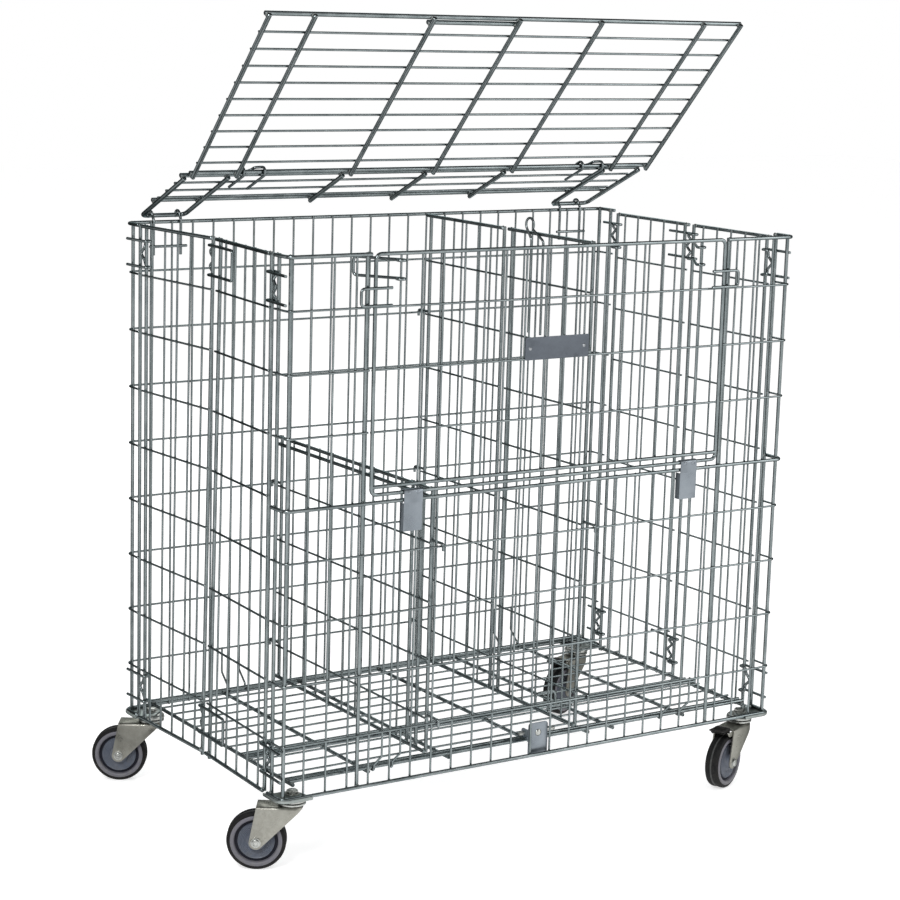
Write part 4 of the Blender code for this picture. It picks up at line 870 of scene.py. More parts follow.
@dataclass
class Gate:
    """Drop-down gate with its side stops, latches, sheet hinge clips and bare plate."""

    gap: float = 0.012
    rail: float = 0.490
    second: float = 0.503
    corner: float = 0.010
    first_upright: int = 5
    levels_from: int = 5
    stop_reach: float = 0.029
    stop_low: float = 0.798
    stop_high: float = 0.826
    latch_low: float = 0.838
    latch_high: float = 0.868
    latch_reach: float = 0.086
    latch_swung: float = 55.0
    latch_pivot: float = 0.002031
    latch_eye: float = 0.00674
    clip_centres: tuple[float, float] = (0.2335, 0.8075)
    clip_width: float = 0.037
    clip_foot: float = 0.425
    clip_sheet: float = 0.0012
    clip_flange: float = 0.012
    clip_wrap: float = 0.00445
    clip_rail_out: float = -0.003224
    clip_fold: float = 0.0012
    lump: Point = (0.0042, 0.0012, 0.0030)
    lump_off: float = 0.0085
    lump_drop: float = 0.0015
    plate_left: float = 0.449
    plate_size: tuple[float, float, float] = (0.131, 0.0012, 0.0385)
    plate_bottom: float = 0.692
    rivet_inset: float = 0.010

    @property
    def left(self) -> float:
        """Place of the gate's left end wire."""
        return CAGE.opening_left + self.gap

    def build_frame(self, work: Work) -> None:
        """Make the closed frame, its second rail, mesh and side stops.

        Args:
            work: the piece being made.
        """
        left, right, front = self.left, CAGE.mirror(self.left), -FRAME.off
        ring = [(left, self.rail), (right, self.rail), (right, CAGE.height), (left, CAGE.height)]
        work.bent([(x, front, z) for x, z in ring], FRAME, self.corner, closed=True)
        rows = [(FRAME, self.second), (FRAME, CAGE.height)]
        rows += [(MESH, z) for z in CAGE.levels[self.levels_from:]]
        for gauge, z in rows:
            if z < CAGE.height:
                work.straight((left, -gauge.off, z), (right, -gauge.off, z), gauge)
                for x in (left, right):
                    work.weld((x, -gauge.off, z), ALONG_Y, FRAME.radius * 0.95)
        for i in range(self.first_upright, CAGE.spaces - self.first_upright + 1):
            x = CAGE.pitch * i
            work.upright(x, MESH.off, self.second, CAGE.height, MESH)
            for gauge, z in rows:
                work.weld((x, 0.0, z), ALONG_Y, MESH.radius)
        ahead = front - FRAME.radius - CLIP.radius + SINK
        for flip in (lambda x: x, CAGE.mirror):
            reach, tail = flip(left - self.stop_reach), flip(left + self.stop_reach)
            heights = (self.stop_low, self.stop_high)
            ends = [(tail, heights[0]), (reach, heights[0]), (reach, heights[1]), (tail, heights[1])]
            work.bent([(x, ahead, z) for x, z in ends], CLIP, 0.006)
            for z in heights:
                work.weld((flip(left), ahead + CLIP.radius, z), ALONG_Y, CLIP.radius)

    def build_latch(self, work: Work, side: Side) -> None:
        """Bend a swinging latch that is curled round a gate upright.

        Args:
            work: the piece being made.
            side: which end of the gate it is at.
        """
        x, pivot = CAGE.pitch * self.first_upright, self.latch_pivot
        eye, swung = self.latch_eye, math.radians(self.latch_swung)

        def place(along: float, across: float, height: float) -> Point:
            """Place a point of the latch in the direction that it is swung to.

            Args:
                along: distance from its pivot.
                across: distance to its side.
                height: height in the cage's frame.

            Returns:
                The point.
            """
            near = x - along * math.cos(swung) + across * math.sin(swung)
            depth = pivot + along * math.sin(swung) + across * math.cos(swung)
            return (near if side is Side.LEFT else CAGE.mirror(near), depth, height)

        def curl(height: float) -> list[Point]:
            """Points round the upright, from the far side of the eye to the leg."""
            turns = [math.radians(a) for a in range(-150, 91, 30)]
            return [place(-eye * math.cos(a), eye * math.sin(a), height) for a in turns]

        tips = [place(self.latch_reach, eye, z) for z in (self.latch_high, self.latch_low)]
        work.bent(curl(self.latch_high) + tips + curl(self.latch_low)[::-1], CLIP, 0.006)

    def build_clip(self, work: Work, centre: float) -> None:
        """Fold a sheet clip round the gate's lower rail, with two flanges and two pressed lumps.

        Args:
            work: the piece being made.
            centre: its middle along the gate.
        """
        wrap, rail_out = self.clip_wrap, self.clip_rail_out
        front, top = rail_out - wrap, CAGE.front_rail - FRAME.radius - 0.002
        half = (self.clip_width - self.clip_sheet) / 2
        part = bmesh.new()
        profile = [(front, self.clip_foot), (front, top)]
        for angle in range(180, -61, -15):
            a = math.radians(angle)
            profile.append((rail_out + wrap * math.cos(a), self.rail + wrap * math.sin(a)))
        verts = [part.verts.new((centre - half, y, z)) for y, z in profile]
        edges = [part.edges.new(pair) for pair in zip(verts, verts[1:])]
        shift(part, bmesh.ops.extrude_edge_only(part, edges=edges)["geom"], (2 * half, 0.0, 0.0))
        for x in (centre - half, centre + half):
            side = [
                e for e in part.edges
                if all(abs(v.co.x - x) < MERGE and v.co.z < top + 1e-5 and abs(v.co.y - front) < MERGE for v in e.verts)
            ]
            shift(part, bmesh.ops.extrude_edge_only(part, edges=side)["geom"], (0.0, self.clip_flange, 0.0))
        work.sheet(part, self.clip_sheet, folds=self.clip_fold)
        for x in (centre - self.lump_off, centre + self.lump_off):
            part = bmesh.new()
            bmesh.ops.create_uvsphere(part, u_segments=16, v_segments=10, radius=1.0)
            place = Matrix.Translation((x, front - self.clip_sheet / 2 + 0.0001, self.rail - self.lump_drop))
            work.take(part, 0, place @ Matrix.Diagonal((*self.lump, 1.0)))

    def build_plate(self, work: Work) -> None:
        """Rivet the bare plate to the front of the mesh, with a washer behind each rivet.

        Args:
            work: the piece being made.
        """
        length, thickness, height = self.plate_size
        back = -(2 * MESH.radius - SINK / 2) + 0.0001
        middle, behind = self.plate_bottom + height / 2, 2 * MESH.radius - SINK / 2
        work.plate((self.plate_left + length / 2, back - thickness / 2, middle), self.plate_size, 0.003, 0.00025)
        for x in (self.plate_left + self.rivet_inset, self.plate_left + length - self.rivet_inset):
            work.turned(RIVET_HEAD, facing((x, back - thickness, middle)), 24, 1)
            work.rod((x, back - thickness / 2, middle), (x, behind + 0.0022, middle), 0.0015, 16, 1)
            work.rod((x, behind - 0.0001, middle), (x, behind + 0.0010, middle), 0.0085, 32, 1, 0.0002)


@dataclass
class Divider:
    """Upright wire leaf across the cage, hooked on the front or rear panel."""

    along: float
    start: float
    stop: float
    rails: tuple[float, ...]
    levels: int
    uprights: int
    hooks: tuple[tuple[Face, int], ...]
    posts: tuple[float, ...] = ()
    hook_drop: float = 0.012
    hook_bend: float = 0.0045

    def build(self, work: Work) -> None:
        """Make the leaf's wires, welds and hooks.

        Args:
            work: the piece being made.
        """
        x = self.along
        rows = [(FRAME, z) for z in self.rails] + [(MESH, z) for z in CAGE.levels[:self.levels]]
        for gauge, z in rows:
            ends = (self.start - LEVEL_TAIL, self.stop + LEVEL_TAIL)
            work.straight((x - gauge.off, ends[0], z), (x - gauge.off, ends[1], z), gauge)
        pitch = (self.stop - self.start) / (self.uprights + 1)
        columns = [(MESH, self.start + pitch * i) for i in range(1, self.uprights + 1)]
        columns += [(FRAME, y) for y in (self.start, *self.posts, self.stop)]
        for gauge, y in columns:
            work.upright(x + gauge.off, y, self.rails[0], self.rails[-1], gauge)
            for row, z in rows:
                work.weld((x, y, z), ALONG_X, min(gauge.radius, row.radius))
        for face, index in self.hooks:
            post = self.start if face is Face.FRONT else self.stop
            out = CAGE.line(face) + face.value * (2 * MESH.radius - SINK / 2 + TOUCH + CLIP.radius)
            over = CAGE.levels[index] + MESH.radius + TOUCH + CLIP.radius
            at = x + FRAME.off
            work.bent([(at, post, over), (at, out, over), (at, out, over - self.hook_drop)], CLIP, self.hook_bend)


@dataclass
class LockPin:
    """Hairpin with a finger ring that lies along the near side of the full-height divider."""

    along: float = 0.605
    ring: float = 0.0115
    ring_at: tuple[float, float] = (0.202, 0.895)
    legs: tuple[float, float] = (0.160, 0.196)
    foot: float = 0.705

    def build(self, work: Work) -> None:
        """Bend the pin from one wire.

        Args:
            work: the piece being made.
        """
        x = self.along - (2 * FRAME.radius - SINK / 2 + TOUCH + PIN.radius)
        depth, height = self.ring_at
        front, rear = self.legs
        shoulder = height - self.ring - 0.014
        turns = [math.radians(a) for a in range(-40, 221, 20)]
        loop = [(x, depth - self.ring * math.cos(a), height + self.ring * math.sin(a)) for a in turns]
        run = [(x, front, self.foot), (x, front, shoulder), *loop, (x, rear, shoulder), (x, rear, self.foot)]
        work.bent(run, PIN, 0.008)


@dataclass
class Floor:
    """Wire floor with double end rails and finger loops, and the lock at the middle of its front."""

    height: float = 0.012
    bars: tuple[float, ...] = (0.036, 0.180, 0.340, 0.515, 0.635, 0.690, 0.850, 0.990)
    rails: tuple[float, ...] = (0.030, 0.042, 0.170, 0.182, 0.536)
    wires: int = 13
    loops: tuple[float, ...] = (0.352, 0.622)
    loop_size: tuple[float, float] = (0.045, 0.028)
    loop_bend: float = 0.009
    clear: float = 0.0063
    lock: float = 0.510
    plate_size: tuple[float, float, float] = (0.040, 0.0025, 0.058)
    plate_depth: float = 0.00475
    plate_foot: float = -0.00325
    bolt_drop: float = 0.018
    lug_inset: float = 0.0015
    lug_half: float = 0.008
    lug_sheet: float = 0.003
    rod_depth: float = 0.018962
    rod_height: float = 0.034
    rod_radius: float = 0.003

    def build_grid(self, work: Work) -> None:
        """Make the floor's wires, welds and finger loops.

        Args:
            work: the piece being made.
        """
        rail_up = self.height + 2 * FRAME.radius - SINK
        thin_up = self.height + FRAME.radius + MESH.radius - SINK
        front, rear = self.rails[0], self.rails[-1]
        pitch = (rear - front) / (self.wires - 1)
        thin = [front + pitch * i for i in range(self.wires)]
        thin = [y for y in thin if all(abs(y - rail) > self.clear for rail in self.rails)]
        left, right = self.bars[0] - LEVEL_TAIL, self.bars[-1] + LEVEL_TAIL
        rows = [(FRAME, y, rail_up) for y in self.rails] + [(MESH, y, thin_up) for y in thin]
        for gauge, y, z in rows:
            work.straight((left, y, z), (right, y, z), gauge)
        for x in self.bars:
            work.straight((x, front - LEVEL_TAIL, self.height), (x, rear + LEVEL_TAIL, self.height), FRAME)
            for gauge, y, _ in rows:
                work.weld((x, y, self.height + FRAME.radius - SINK / 2), ALONG_Z, gauge.radius)
        width, rise = self.loop_size
        for x in self.loops:
            y = self.rails[2]
            points = [(x, y, rail_up), (x, y, rail_up + rise), (x + width, y, rail_up + rise), (x + width, y, rail_up)]
            work.bent(points, CLIP, self.loop_bend)
            for at in (x, x + width):
                work.weld((at, y, rail_up + FRAME.radius * 0.8), ALONG_Z, FRAME.radius)

    def build_lock_plate(self, work: Work) -> None:
        """Make the upright lock plate with its bolt and the two lugs that the rod runs through.

        Args:
            work: the piece being made.
        """
        width, thickness, height = self.plate_size
        depth, low = self.plate_depth, self.plate_foot
        work.plate((self.lock, depth, low + height / 2), self.plate_size, 0.005, 0.0004, top_only=True)
        face, top = depth + thickness / 2, low + height - self.bolt_drop
        for near, far, radius, sides, rim in (
            (-0.0005, 0.0012, 0.0095, 32, 0.0002), (0.001, 0.0052, 0.0068, 6, 0.0005),
            (0.004, 0.0072, 0.0034, 24, 0.0005),
        ):
            work.rod((self.lock, face + near, top), (self.lock, face + far, top), radius, sides, 1, rim)
        work.turned(BOLT_HEAD, facing((self.lock, depth - thickness / 2, top)), 32, 1)
        reach = self.rod_depth + 0.0070
        for x in (self.lock - width / 2 + self.lug_inset, self.lock + width / 2 - self.lug_inset):
            self.lug(work, x, face - SINK, reach)

    def lug(self, work: Work, x: float, near: float, reach: float) -> None:
        """Stand a lug with a round hole on the plate.

        Args:
            work: the piece being made.
            x: its place along the front.
            near: depth where it meets the plate.
            reach: depth of its far edge.
        """
        part = bmesh.new()
        bmesh.ops.create_circle(
            part, cap_ends=False, segments=24, radius=self.rod_radius + 0.0006,
            matrix=Matrix.Translation((x, self.rod_depth, self.rod_height)) @ Matrix.Rotation(math.pi / 2, 4, "Y"),
        )
        half = self.lug_half
        rim = [(near, -half), (reach, -half), (reach, half), (near, half)]
        outline = rounded([(x, y, self.rod_height + z) for y, z in rim], 0.003, closed=True)
        verts = [part.verts.new(p) for p in outline]
        for pair in zip(verts, verts[1:] + verts[:1]):
            part.edges.new(pair)
        bmesh.ops.triangle_fill(part, use_beauty=True, use_dissolve=False, edges=list(part.edges))
        work.sheet(part, self.lug_sheet)

    def build_lock_pin(self, work: Work) -> None:
        """Make the cross rod with its collar.

        Args:
            work: the piece being made.
        """
        y, z, middle = self.rod_depth, self.rod_height, self.lock + 0.008
        work.rod((middle - 0.0375, y, z), (middle + 0.0375, y, z), self.rod_radius, 24, 0, 0.0008)
        work.rod((self.lock + 0.002, y, z), (self.lock + 0.006, y, z), self.rod_radius + 0.002, 32, 0, 0.0004)


@dataclass
class Slope:
    """Sloping plane of a lid section: u along X, v down from its fold rail, w above it."""

    left: float
    rail: Vector
    raised: float
    towards_pivot: bool

    @property
    def up(self) -> Vector:
        """Direction that points out of the section's upper face."""
        return Vector((0.0, math.sin(math.radians(self.raised)), math.cos(math.radians(self.raised))))

    def point(self, u: float, v: float, w: float) -> Point:
        """Place on the section.

        Args:
            u: distance along the rail.
            v: distance down the slope.
            w: height above the middle of the rails.

        Returns:
            The point in the cage's frame.
        """
        slope = math.radians(self.raised)
        ahead = Vector((0.0, -math.cos(slope), math.sin(slope)))
        place = self.rail + ahead * (-v if self.towards_pivot else v) + self.up * w
        return (self.left + u, place.y, place.z)


@dataclass
class Lid:
    """Lid in two sections that fold on each other, open."""

    length: float = 0.968
    margin: float = 0.0285
    slack: float = 0.013
    stations: tuple[float, ...] = (0.0, 0.084, 0.311, 0.484, 0.657, 0.884, 0.968)
    rear_raised: float = 25.4
    front_raised: float = 46.8
    pivot: tuple[float, float] = (0.577, 0.8905)
    pivot_reach: float = 0.1766
    cad_layer: float = 0.008098
    layer: float = 0.0076
    rear_wires: tuple[float, ...] = (0.031, 0.067, 0.101)
    rear_end_rail: float = 0.118
    front_depth: float = 0.372
    front_first: float = 0.027
    front_pitch: float = 0.0383
    front_wires: int = 9
    rail_spacing: float = 0.010
    handle_setback: float = 0.012
    thin_over: float = 0.002
    hinge_wires: tuple[tuple[float, float, float], ...] = ((0.178, 0.148, 0.1375), (0.9035, 0.873, 0.857))
    tails: tuple[float, float] = (0.055, 0.045)
    hook_reach: float = 0.0080
    loop_legs: tuple[tuple[float, float], ...] = ((0.0455, 0.0985), (0.924, 0.972))
    loop_foot: float = 0.822
    loop_bar: float = 0.838
    loop_reach: float = 0.0083

    @property
    def strip(self) -> tuple[Vector, Vector]:
        """Directions up along the rear strip and out of its upper face."""
        slope = math.radians(self.rear_raised)
        return Vector((0.0, -math.cos(slope), math.sin(slope))), Vector((0.0, math.sin(slope), math.cos(slope)))

    def rails(self) -> tuple[Vector, Vector]:
        """Places of the two rails where the lid folds."""
        rear = Vector((0.0, *self.pivot)) + self.strip[0] * self.pivot_reach + self.strip[1] * self.cad_layer
        return rear, rear + self.strip[0] * self.rail_spacing

    def grid(self, work: Work, plane: Slope, rails: Sequence[float], thin: Sequence[float],
             depth: dict[float, float]) -> None:
        """Lay rails and thin wires over the depth wires of a section and weld them.

        Args:
            work: the piece being made.
            plane: the section's plane.
            rails: places of the rails down the slope.
            thin: places of the thin wires.
            depth: how far down each depth wire reaches, by its place along the rail.
        """
        lift = LID_FRAME.radius + LID_MESH.radius - (2 * LID_FRAME.radius - self.layer)
        rows = [(LID_FRAME, v, 0.0, LEVEL_TAIL) for v in rails]
        rows += [(LID_MESH, v, lift - self.layer, self.thin_over) for v in thin]
        for gauge, v, w, over in rows:
            work.straight(plane.point(-over, v, w), plane.point(self.length + over, v, w), gauge)
            for u, reach in depth.items():
                if v < reach:
                    work.weld(plane.point(u, v, LID_FRAME.radius - self.layer), plane.up, gauge.radius)

    def build_rear(self, work: Work) -> None:
        """Make the rear strip with the two arms that its end wires make.

        Args:
            work: the piece being made.
        """
        plane = Slope(self.margin, self.rails()[0], self.rear_raised, True)
        w, over, reach = -self.layer, LEVEL_TAIL, self.pivot_reach
        for first, second in (self.stations[:2], self.stations[-2:]):
            arm = [(first, -over), (first, reach), (second, reach), (second, -over)]
            work.bent([plane.point(u, v, w) for u, v in arm], LID_FRAME, 0.010)
        for u in self.stations[2:-2]:
            work.straight(plane.point(u, -over, w), plane.point(u, self.rear_end_rail + over, w), LID_FRAME)
        self.grid(work, plane, (0.0, self.rear_end_rail), self.rear_wires, dict.fromkeys(self.stations, 1.0))

    def build_front(self, work: Work) -> None:
        """Make the front section with a short bar behind its front rail as a handle.

        Args:
            work: the piece being made.
        """
        plane = Slope(self.margin + self.slack, self.rails()[1], self.front_raised, False)
        w, over, deep = -self.layer, LEVEL_TAIL, self.front_depth
        for u in self.stations:
            work.straight(plane.point(u, -over, w), plane.point(u, deep + over, w), LID_FRAME)
        thin = [self.front_first + self.front_pitch * i for i in range(self.front_wires)]
        self.grid(work, plane, (0.0, deep), thin, dict.fromkeys(self.stations, 1.0))
        bar = deep - self.handle_setback
        ends = (self.stations[2] - over, self.stations[3] + over)
        work.straight(plane.point(ends[0], bar, 0.0), plane.point(ends[1], bar, 0.0), LID_FRAME)
        for u in self.stations[2:4]:
            work.weld(plane.point(u, bar, LID_FRAME.radius - self.layer), plane.up, LID_FRAME.radius)

    def build_hinge_wire(self, work: Work, side: Side) -> None:
        """Bend one wire that hooks over both fold rails at two places.

        Args:
            work: the piece being made.
            side: which end of the lid it is at.
        """
        (rear_rail, front_rail), (ahead, up) = self.rails(), self.strip
        reach, close = self.hook_reach, LID_FRAME.radius + CLIP.radius
        wide, narrow, last = self.hinge_wires[0 if side is Side.LEFT else 1]
        over = (wide + narrow) / 2

        def around(x: float, rail: Vector, angle: float) -> Point:
            """Point beside a rail, at an angle from the direction that the strip rises in."""
            place = rail + (ahead * math.cos(math.radians(angle)) + up * math.sin(math.radians(angle))) * reach
            return (x, place.y, place.z)

        def tail(x: float, length: float) -> Point:
            """End of a tail that lies under the strip."""
            place = rear_rail - ahead * length - up * close
            return (x, place.y, place.z)

        hook = (-75, -45, -15, 15, 45, 75)
        run = [tail(wide, self.tails[0])] + [around(wide, front_rail, a) for a in hook]
        run += [around(over, front_rail, 90), around(over, rear_rail, 90), around(narrow, rear_rail, 140)]
        run += [around(last, rear_rail, 140), around(last, rear_rail, 90)]
        run += [around(last, front_rail, a) for a in hook[::-1]] + [tail(last, self.tails[1])]
        work.bent(run, CLIP, 0.005)

    def build_loops(self, work: Work, side: Side) -> None:
        """Bend two wires that rise inside the rear panel and loop over the lid's base bar.

        Args:
            work: the piece being made.
            side: which end of the lid they are at.
        """
        inside = CAGE.depth - SINK / 2 - CLIP.radius
        depth, height = self.pivot
        turns = [math.radians(a) for a in range(165, -31, -15)]
        loop = [(depth + self.loop_reach * math.cos(a), height + self.loop_reach * math.sin(a)) for a in turns]
        outline = [(inside, self.loop_foot), (inside, CAGE.height + 0.004), *loop]
        legs = self.loop_legs[0 if side is Side.LEFT else 1]
        for x in legs:
            work.bent([(x, y, z) for y, z in outline], CLIP, 0.006)
            work.weld((x, inside - CLIP.radius + SINK / 2, self.loop_bar), ALONG_Y, CLIP.radius)
        bar = inside - 2 * CLIP.radius + SINK
        work.straight((legs[0] - 0.010, bar, self.loop_bar), (legs[1] + 0.010, bar, self.loop_bar), CLIP)


@dataclass(frozen=True)
class Corner:
    """Where a castor stands: its name, which end and face of the cage, and its heading in degrees."""

    name: str
    right: bool
    face: Face
    heading: float

    @property
    def stem(self) -> tuple[float, float]:
        """Place of the castor's stem in the cage's frame."""
        x, y = (0.037, 0.030) if self.face is Face.FRONT else (0.035, 0.024)
        return (CAGE.mirror(x) if self.right else x, y if self.face is Face.FRONT else CAGE.depth - y)

    @property
    def turned(self) -> Matrix:
        """Matrix from the castor's own frame, with X towards its trailing axle, to the cage's."""
        return Matrix.Translation((*self.stem, 0.0)) @ Matrix.Rotation(math.radians(self.heading), 4, "Z")


@dataclass
class Castor:
    """Swivel castor: corner tray, ball race, pressed fork, wheel, axle and brake pedal."""

    plate_top: float = -0.003395
    plate_sheet: float = 0.0025
    plate_sides: tuple[float, float] = (0.062, 0.054)
    plate_lip: float = 0.0048
    plate_cut: float = 0.022
    plate_out: float = 0.0076
    plate_fold: float = 0.0018
    head_top: float = -0.006195
    fork_top: float = -0.021495
    fork_half: float = 0.021
    fork_sheet: float = 0.0025
    fork_fold: float = 0.0035
    back_tilt: float = 0.19
    ear_sheet: float = 0.0016
    dimple: tuple[float, float] = (0.038, 0.0135)
    trail: float = 0.057
    axle_drop: float = 0.0825
    tip: float = 0.0115
    stem: float = 0.006
    axle: float = 0.004
    pedal_half: float = 0.013
    rib_first: float = 0.0085
    rib_pitch: float = 0.0048
    rib_inset: float = 0.002

    def build_plate(self, work: Work, corner: Corner) -> None:
        """Fold the tray under a corner, with a lip outside each rail and its inner corner cut off.

        Args:
            work: the piece being made.
            corner: where it is.
        """
        out, (long_side, short_side), cut = self.plate_out, self.plate_sides, self.plate_cut
        middle = self.plate_top - self.plate_sheet / 2

        def place(x: float, y: float, z: float) -> Point:
            """Point of the tray, measured from its own corner of the cage."""
            return (CAGE.mirror(x) if corner.right else x, y if corner.face is Face.FRONT else CAGE.depth - y, z)

        bend = CAGE.rail_bend + out
        wall = rounded([(-out, short_side - out, 0), (-out, -out, 0), (long_side - out, -out, 0)], bend)
        inner = [(long_side - out, short_side - out - cut, 0), (long_side - out - cut, short_side - out, 0)]
        part = bmesh.new()
        verts = [part.verts.new(place(x, y, middle)) for x, y, _ in wall + [Vector(p) for p in inner]]
        part.faces.new(verts)
        lips = [part.edges.get(pair) for pair in zip(verts[:len(wall)], verts[1:len(wall)])]
        shift(part, bmesh.ops.extrude_edge_only(part, edges=lips)["geom"], (0.0, 0.0, self.plate_lip))
        work.sheet(part, self.plate_sheet, rim=0.0004, folds=self.plate_fold)

    def build_head(self, work: Work) -> None:
        """Make the stem bolt, the ball race with its gap painted near black as shade, and the nut under the fork.

        Args:
            work: the piece being made.
        """
        top = self.plate_top + TOUCH
        work.rod((0, 0, top - 0.0004), (0, 0, top + 0.0010), 0.0118, 32, 0, 0.0002)
        work.rod((0, 0, top + 0.0008), (0, 0, top + 0.0064), 0.0098, 6, 0, 0.0007)
        work.turned(STEM_HEAD, Matrix.Translation((0.0, 0.0, top)), 32)
        under = self.fork_top - self.fork_sheet - TOUCH
        work.rod((0, 0, under - 0.0045), (0, 0, top), self.stem - 0.0003, 24)
        work.rod((0, 0, under - 0.0055), (0, 0, under), 0.0092, 6, 0, 0.0006)
        # Finish 1 on the gap ring is near-black painted shade in the race's recess
        for outline, finish in ((RACE_CUP, 0), (RACE_GAP, 1), (RACE_BASE, 0)):
            work.turned(outline, Matrix.Translation((0.0, 0.0, self.head_top)), 48, finish)

    def build_fork(self, work: Work, braked: bool) -> None:
        """Press the fork: a top plate under the race, a round front skirt and two cheeks down to the axle.

        Args:
            work: the piece being made.
            braked: whether its cheeks carry the pedal's bracket.
        """
        half, top = self.fork_half - self.fork_sheet / 2, self.fork_top - self.fork_sheet / 2
        back, axle_z = self.trail + self.tip + 0.002, -self.axle_drop
        plan = rounded([(back, -half, 0), (-half, -half, 0), (-half, half, 0), (back, half, 0)], half * 0.96)
        part = bmesh.new()
        verts = [part.verts.new((x, y, top)) for x, y, _ in plan]
        part.faces.new(verts)
        wall = [part.edges.get(pair) for pair in zip(verts, verts[1:])]
        shift(part, bmesh.ops.extrude_edge_only(part, edges=wall)["geom"], (0.0, 0.0, axle_z - self.tip - top))
        bevel(part, wall, self.fork_fold, 4)
        centre, tilt = Vector((self.trail, 0.0, axle_z)), self.back_tilt
        self.cut(part, Vector((self.trail, 0.0, self.fork_top)), Vector((math.cos(tilt), 0.0, math.sin(tilt))))
        for degrees in range(225, 351, 15):
            away = Vector((math.cos(math.radians(degrees)), 0.0, math.sin(math.radians(degrees))))
            self.cut(part, centre + away * self.tip, away)
        # Lower edge of the front skirt, and front edge of the cheeks
        skirt = (Vector((-0.0225, 0.0, top - 0.0125)), Vector((-0.62, 0.0, -0.785)).normalized())
        edge = (Vector((0.004, 0.0, -0.0565)), Vector((-0.640, 0.0, -0.768)).normalized())
        for point, away in (skirt, edge):
            self.cut(part, point, away, False)
        outside = [
            f for f in part.faces
            if all((f.calc_center_median() - point).dot(away) > 1e-5 for point, away in (skirt, edge))
        ]
        bmesh.ops.delete(part, geom=outside, context="FACES")
        self.king_hole(part, top)
        work.sheet(part, self.fork_sheet, rim=0.0004)
        for y in (-self.fork_half, self.fork_half):
            work.turned(FORK_BOSS, facing((self.trail, y, axle_z), -y), 40)
            if braked:
                along, drop = self.dimple
                work.turned(FORK_DIMPLE, facing((along, y, top - drop), -y), 24)
                self.pedal_ear(work, math.copysign(self.pedal_half + 0.0042, y))

    def pedal_ear(self, work: Work, y: float) -> None:
        """Press one side of the pedal's bracket, with a scalloped lower edge and two dimples.

        Args:
            work: the piece being made.
            y: middle of its sheet.
        """
        under = self.fork_top - self.fork_sheet
        part = bmesh.new()
        part.faces.new([part.verts.new((x, y, under + 0.0004 - drop)) for x, drop in BRACKET])
        work.sheet(part, self.ear_sheet)
        for x, drop in ((0.0690, 0.0030), (0.0655, 0.0052)):
            work.rod((x, y * 0.99, under - drop), (x, y * 1.075, under - drop), 0.0011, 16, 0, 0.0003)

    def cut(self, part: Shell, point: Vector, away: Vector, clear: bool = True) -> None:
        """Cut a sheet along the plane through a point, and by default clear what lies beyond it."""
        geom = [*part.verts, *part.edges, *part.faces]
        bmesh.ops.bisect_plane(part, geom=geom, dist=MERGE, plane_co=point, plane_no=away, clear_outer=clear)

    def king_hole(self, part: Shell, top: float) -> None:
        """Open the round hole for the stem in the fork's flat top.

        Args:
            part: bmesh of the fork's sheet.
            top: height of the sheet's middle there.
        """
        flat = [f for f in part.faces if all(abs(v.co.z - top) < MERGE for v in f.verts)]
        rim = {e for f in flat for e in f.edges if sum(g in flat for g in e.link_faces) == 1}
        bmesh.ops.delete(part, geom=flat, context="FACES_ONLY")
        inside = [e for e in part.edges if not e.link_faces and e not in rim]
        bmesh.ops.delete(part, geom=inside, context="EDGES")
        place = Matrix.Translation((0.0, 0.0, top))
        ring = bmesh.ops.create_circle(part, cap_ends=False, segments=24, radius=self.stem + 0.0008, matrix=place)
        loop = {e for v in ring["verts"] for e in v.link_edges}
        bmesh.ops.triangle_fill(part, use_beauty=True, use_dissolve=False, edges=list(rim | loop))

    def build_wheel(self, work: Work) -> None:
        """Turn the tyre, the pale rim, the groove painted near black as shade, and the dished disc with its hub.

        Args:
            work: the piece being made.
        """
        axle = facing((self.trail, 0.0, -self.axle_drop))
        # Finish 3 on the groove is near-black painted shade in the recess between rim and disc
        for side, steps, finish in (
            (TYRE_WALL, 72, 0), (TREAD, 72, 1), (SCUFF, 72, 5), (RIM, 72, 2), (GROOVE, 64, 3), (DISC, 64, 4),
        ):
            outline = [*side, *((radius, -out) for radius, out in side[::-1])]
            work.turned(outline, axle, steps, finish, closed=True)

    def build_axle(self, work: Work) -> None:
        """Make the axle bolt with its washers, head and nut.

        Args:
            work: the piece being made.
        """
        x, z, out = self.trail, -self.axle_drop, self.fork_half + 0.0006
        work.rod((x, -out - 0.004, z), (x, out + 0.0044, z), self.axle - 0.0001, 24, 0, 0.0006)
        for side in (-1, 1):
            work.rod((x, side * (out - 0.0002), z), (x, side * (out + 0.0008), z), 0.0082, 32, 0, 0.0002)
        work.rod((x, -out - 0.0047, z), (x, -out - 0.0006, z), 0.0074, 6, 0, 0.0006)
        work.rod((x, out + 0.0006, z), (x, out + 0.0036, z), 0.0074, 6, 0, 0.0006)
        work.turned(AXLE_COLLAR, facing((x, out, z), -1.0), 32, 0, closed=True)

    def build_pedal(self, work: Work) -> None:
        """Mould the brake pedal with ribs on top and teeth at its end.

        Args:
            work: the piece being made.
        """
        start, high, half = self.trail + TOUCH, self.fork_top + 0.004, self.pedal_half
        part = bmesh.new()
        face = part.faces.new([part.verts.new((start + x, -half, high + z)) for x, z in PEDAL])
        shift(part, bmesh.ops.extrude_face_region(part, geom=[face])["geom"], (0.0, 2 * half, 0.0))
        bevel_creases(part, 0.0006, 2, 25.0)
        work.take(part)
        rib, level = half - self.rib_inset, high + 0.0001
        for i in range(5):
            x = start + self.rib_first + self.rib_pitch * i
            work.rod((x, -rib, level), (x, rib, level), 0.0010, 12)


Colour = tuple[float, float, float]


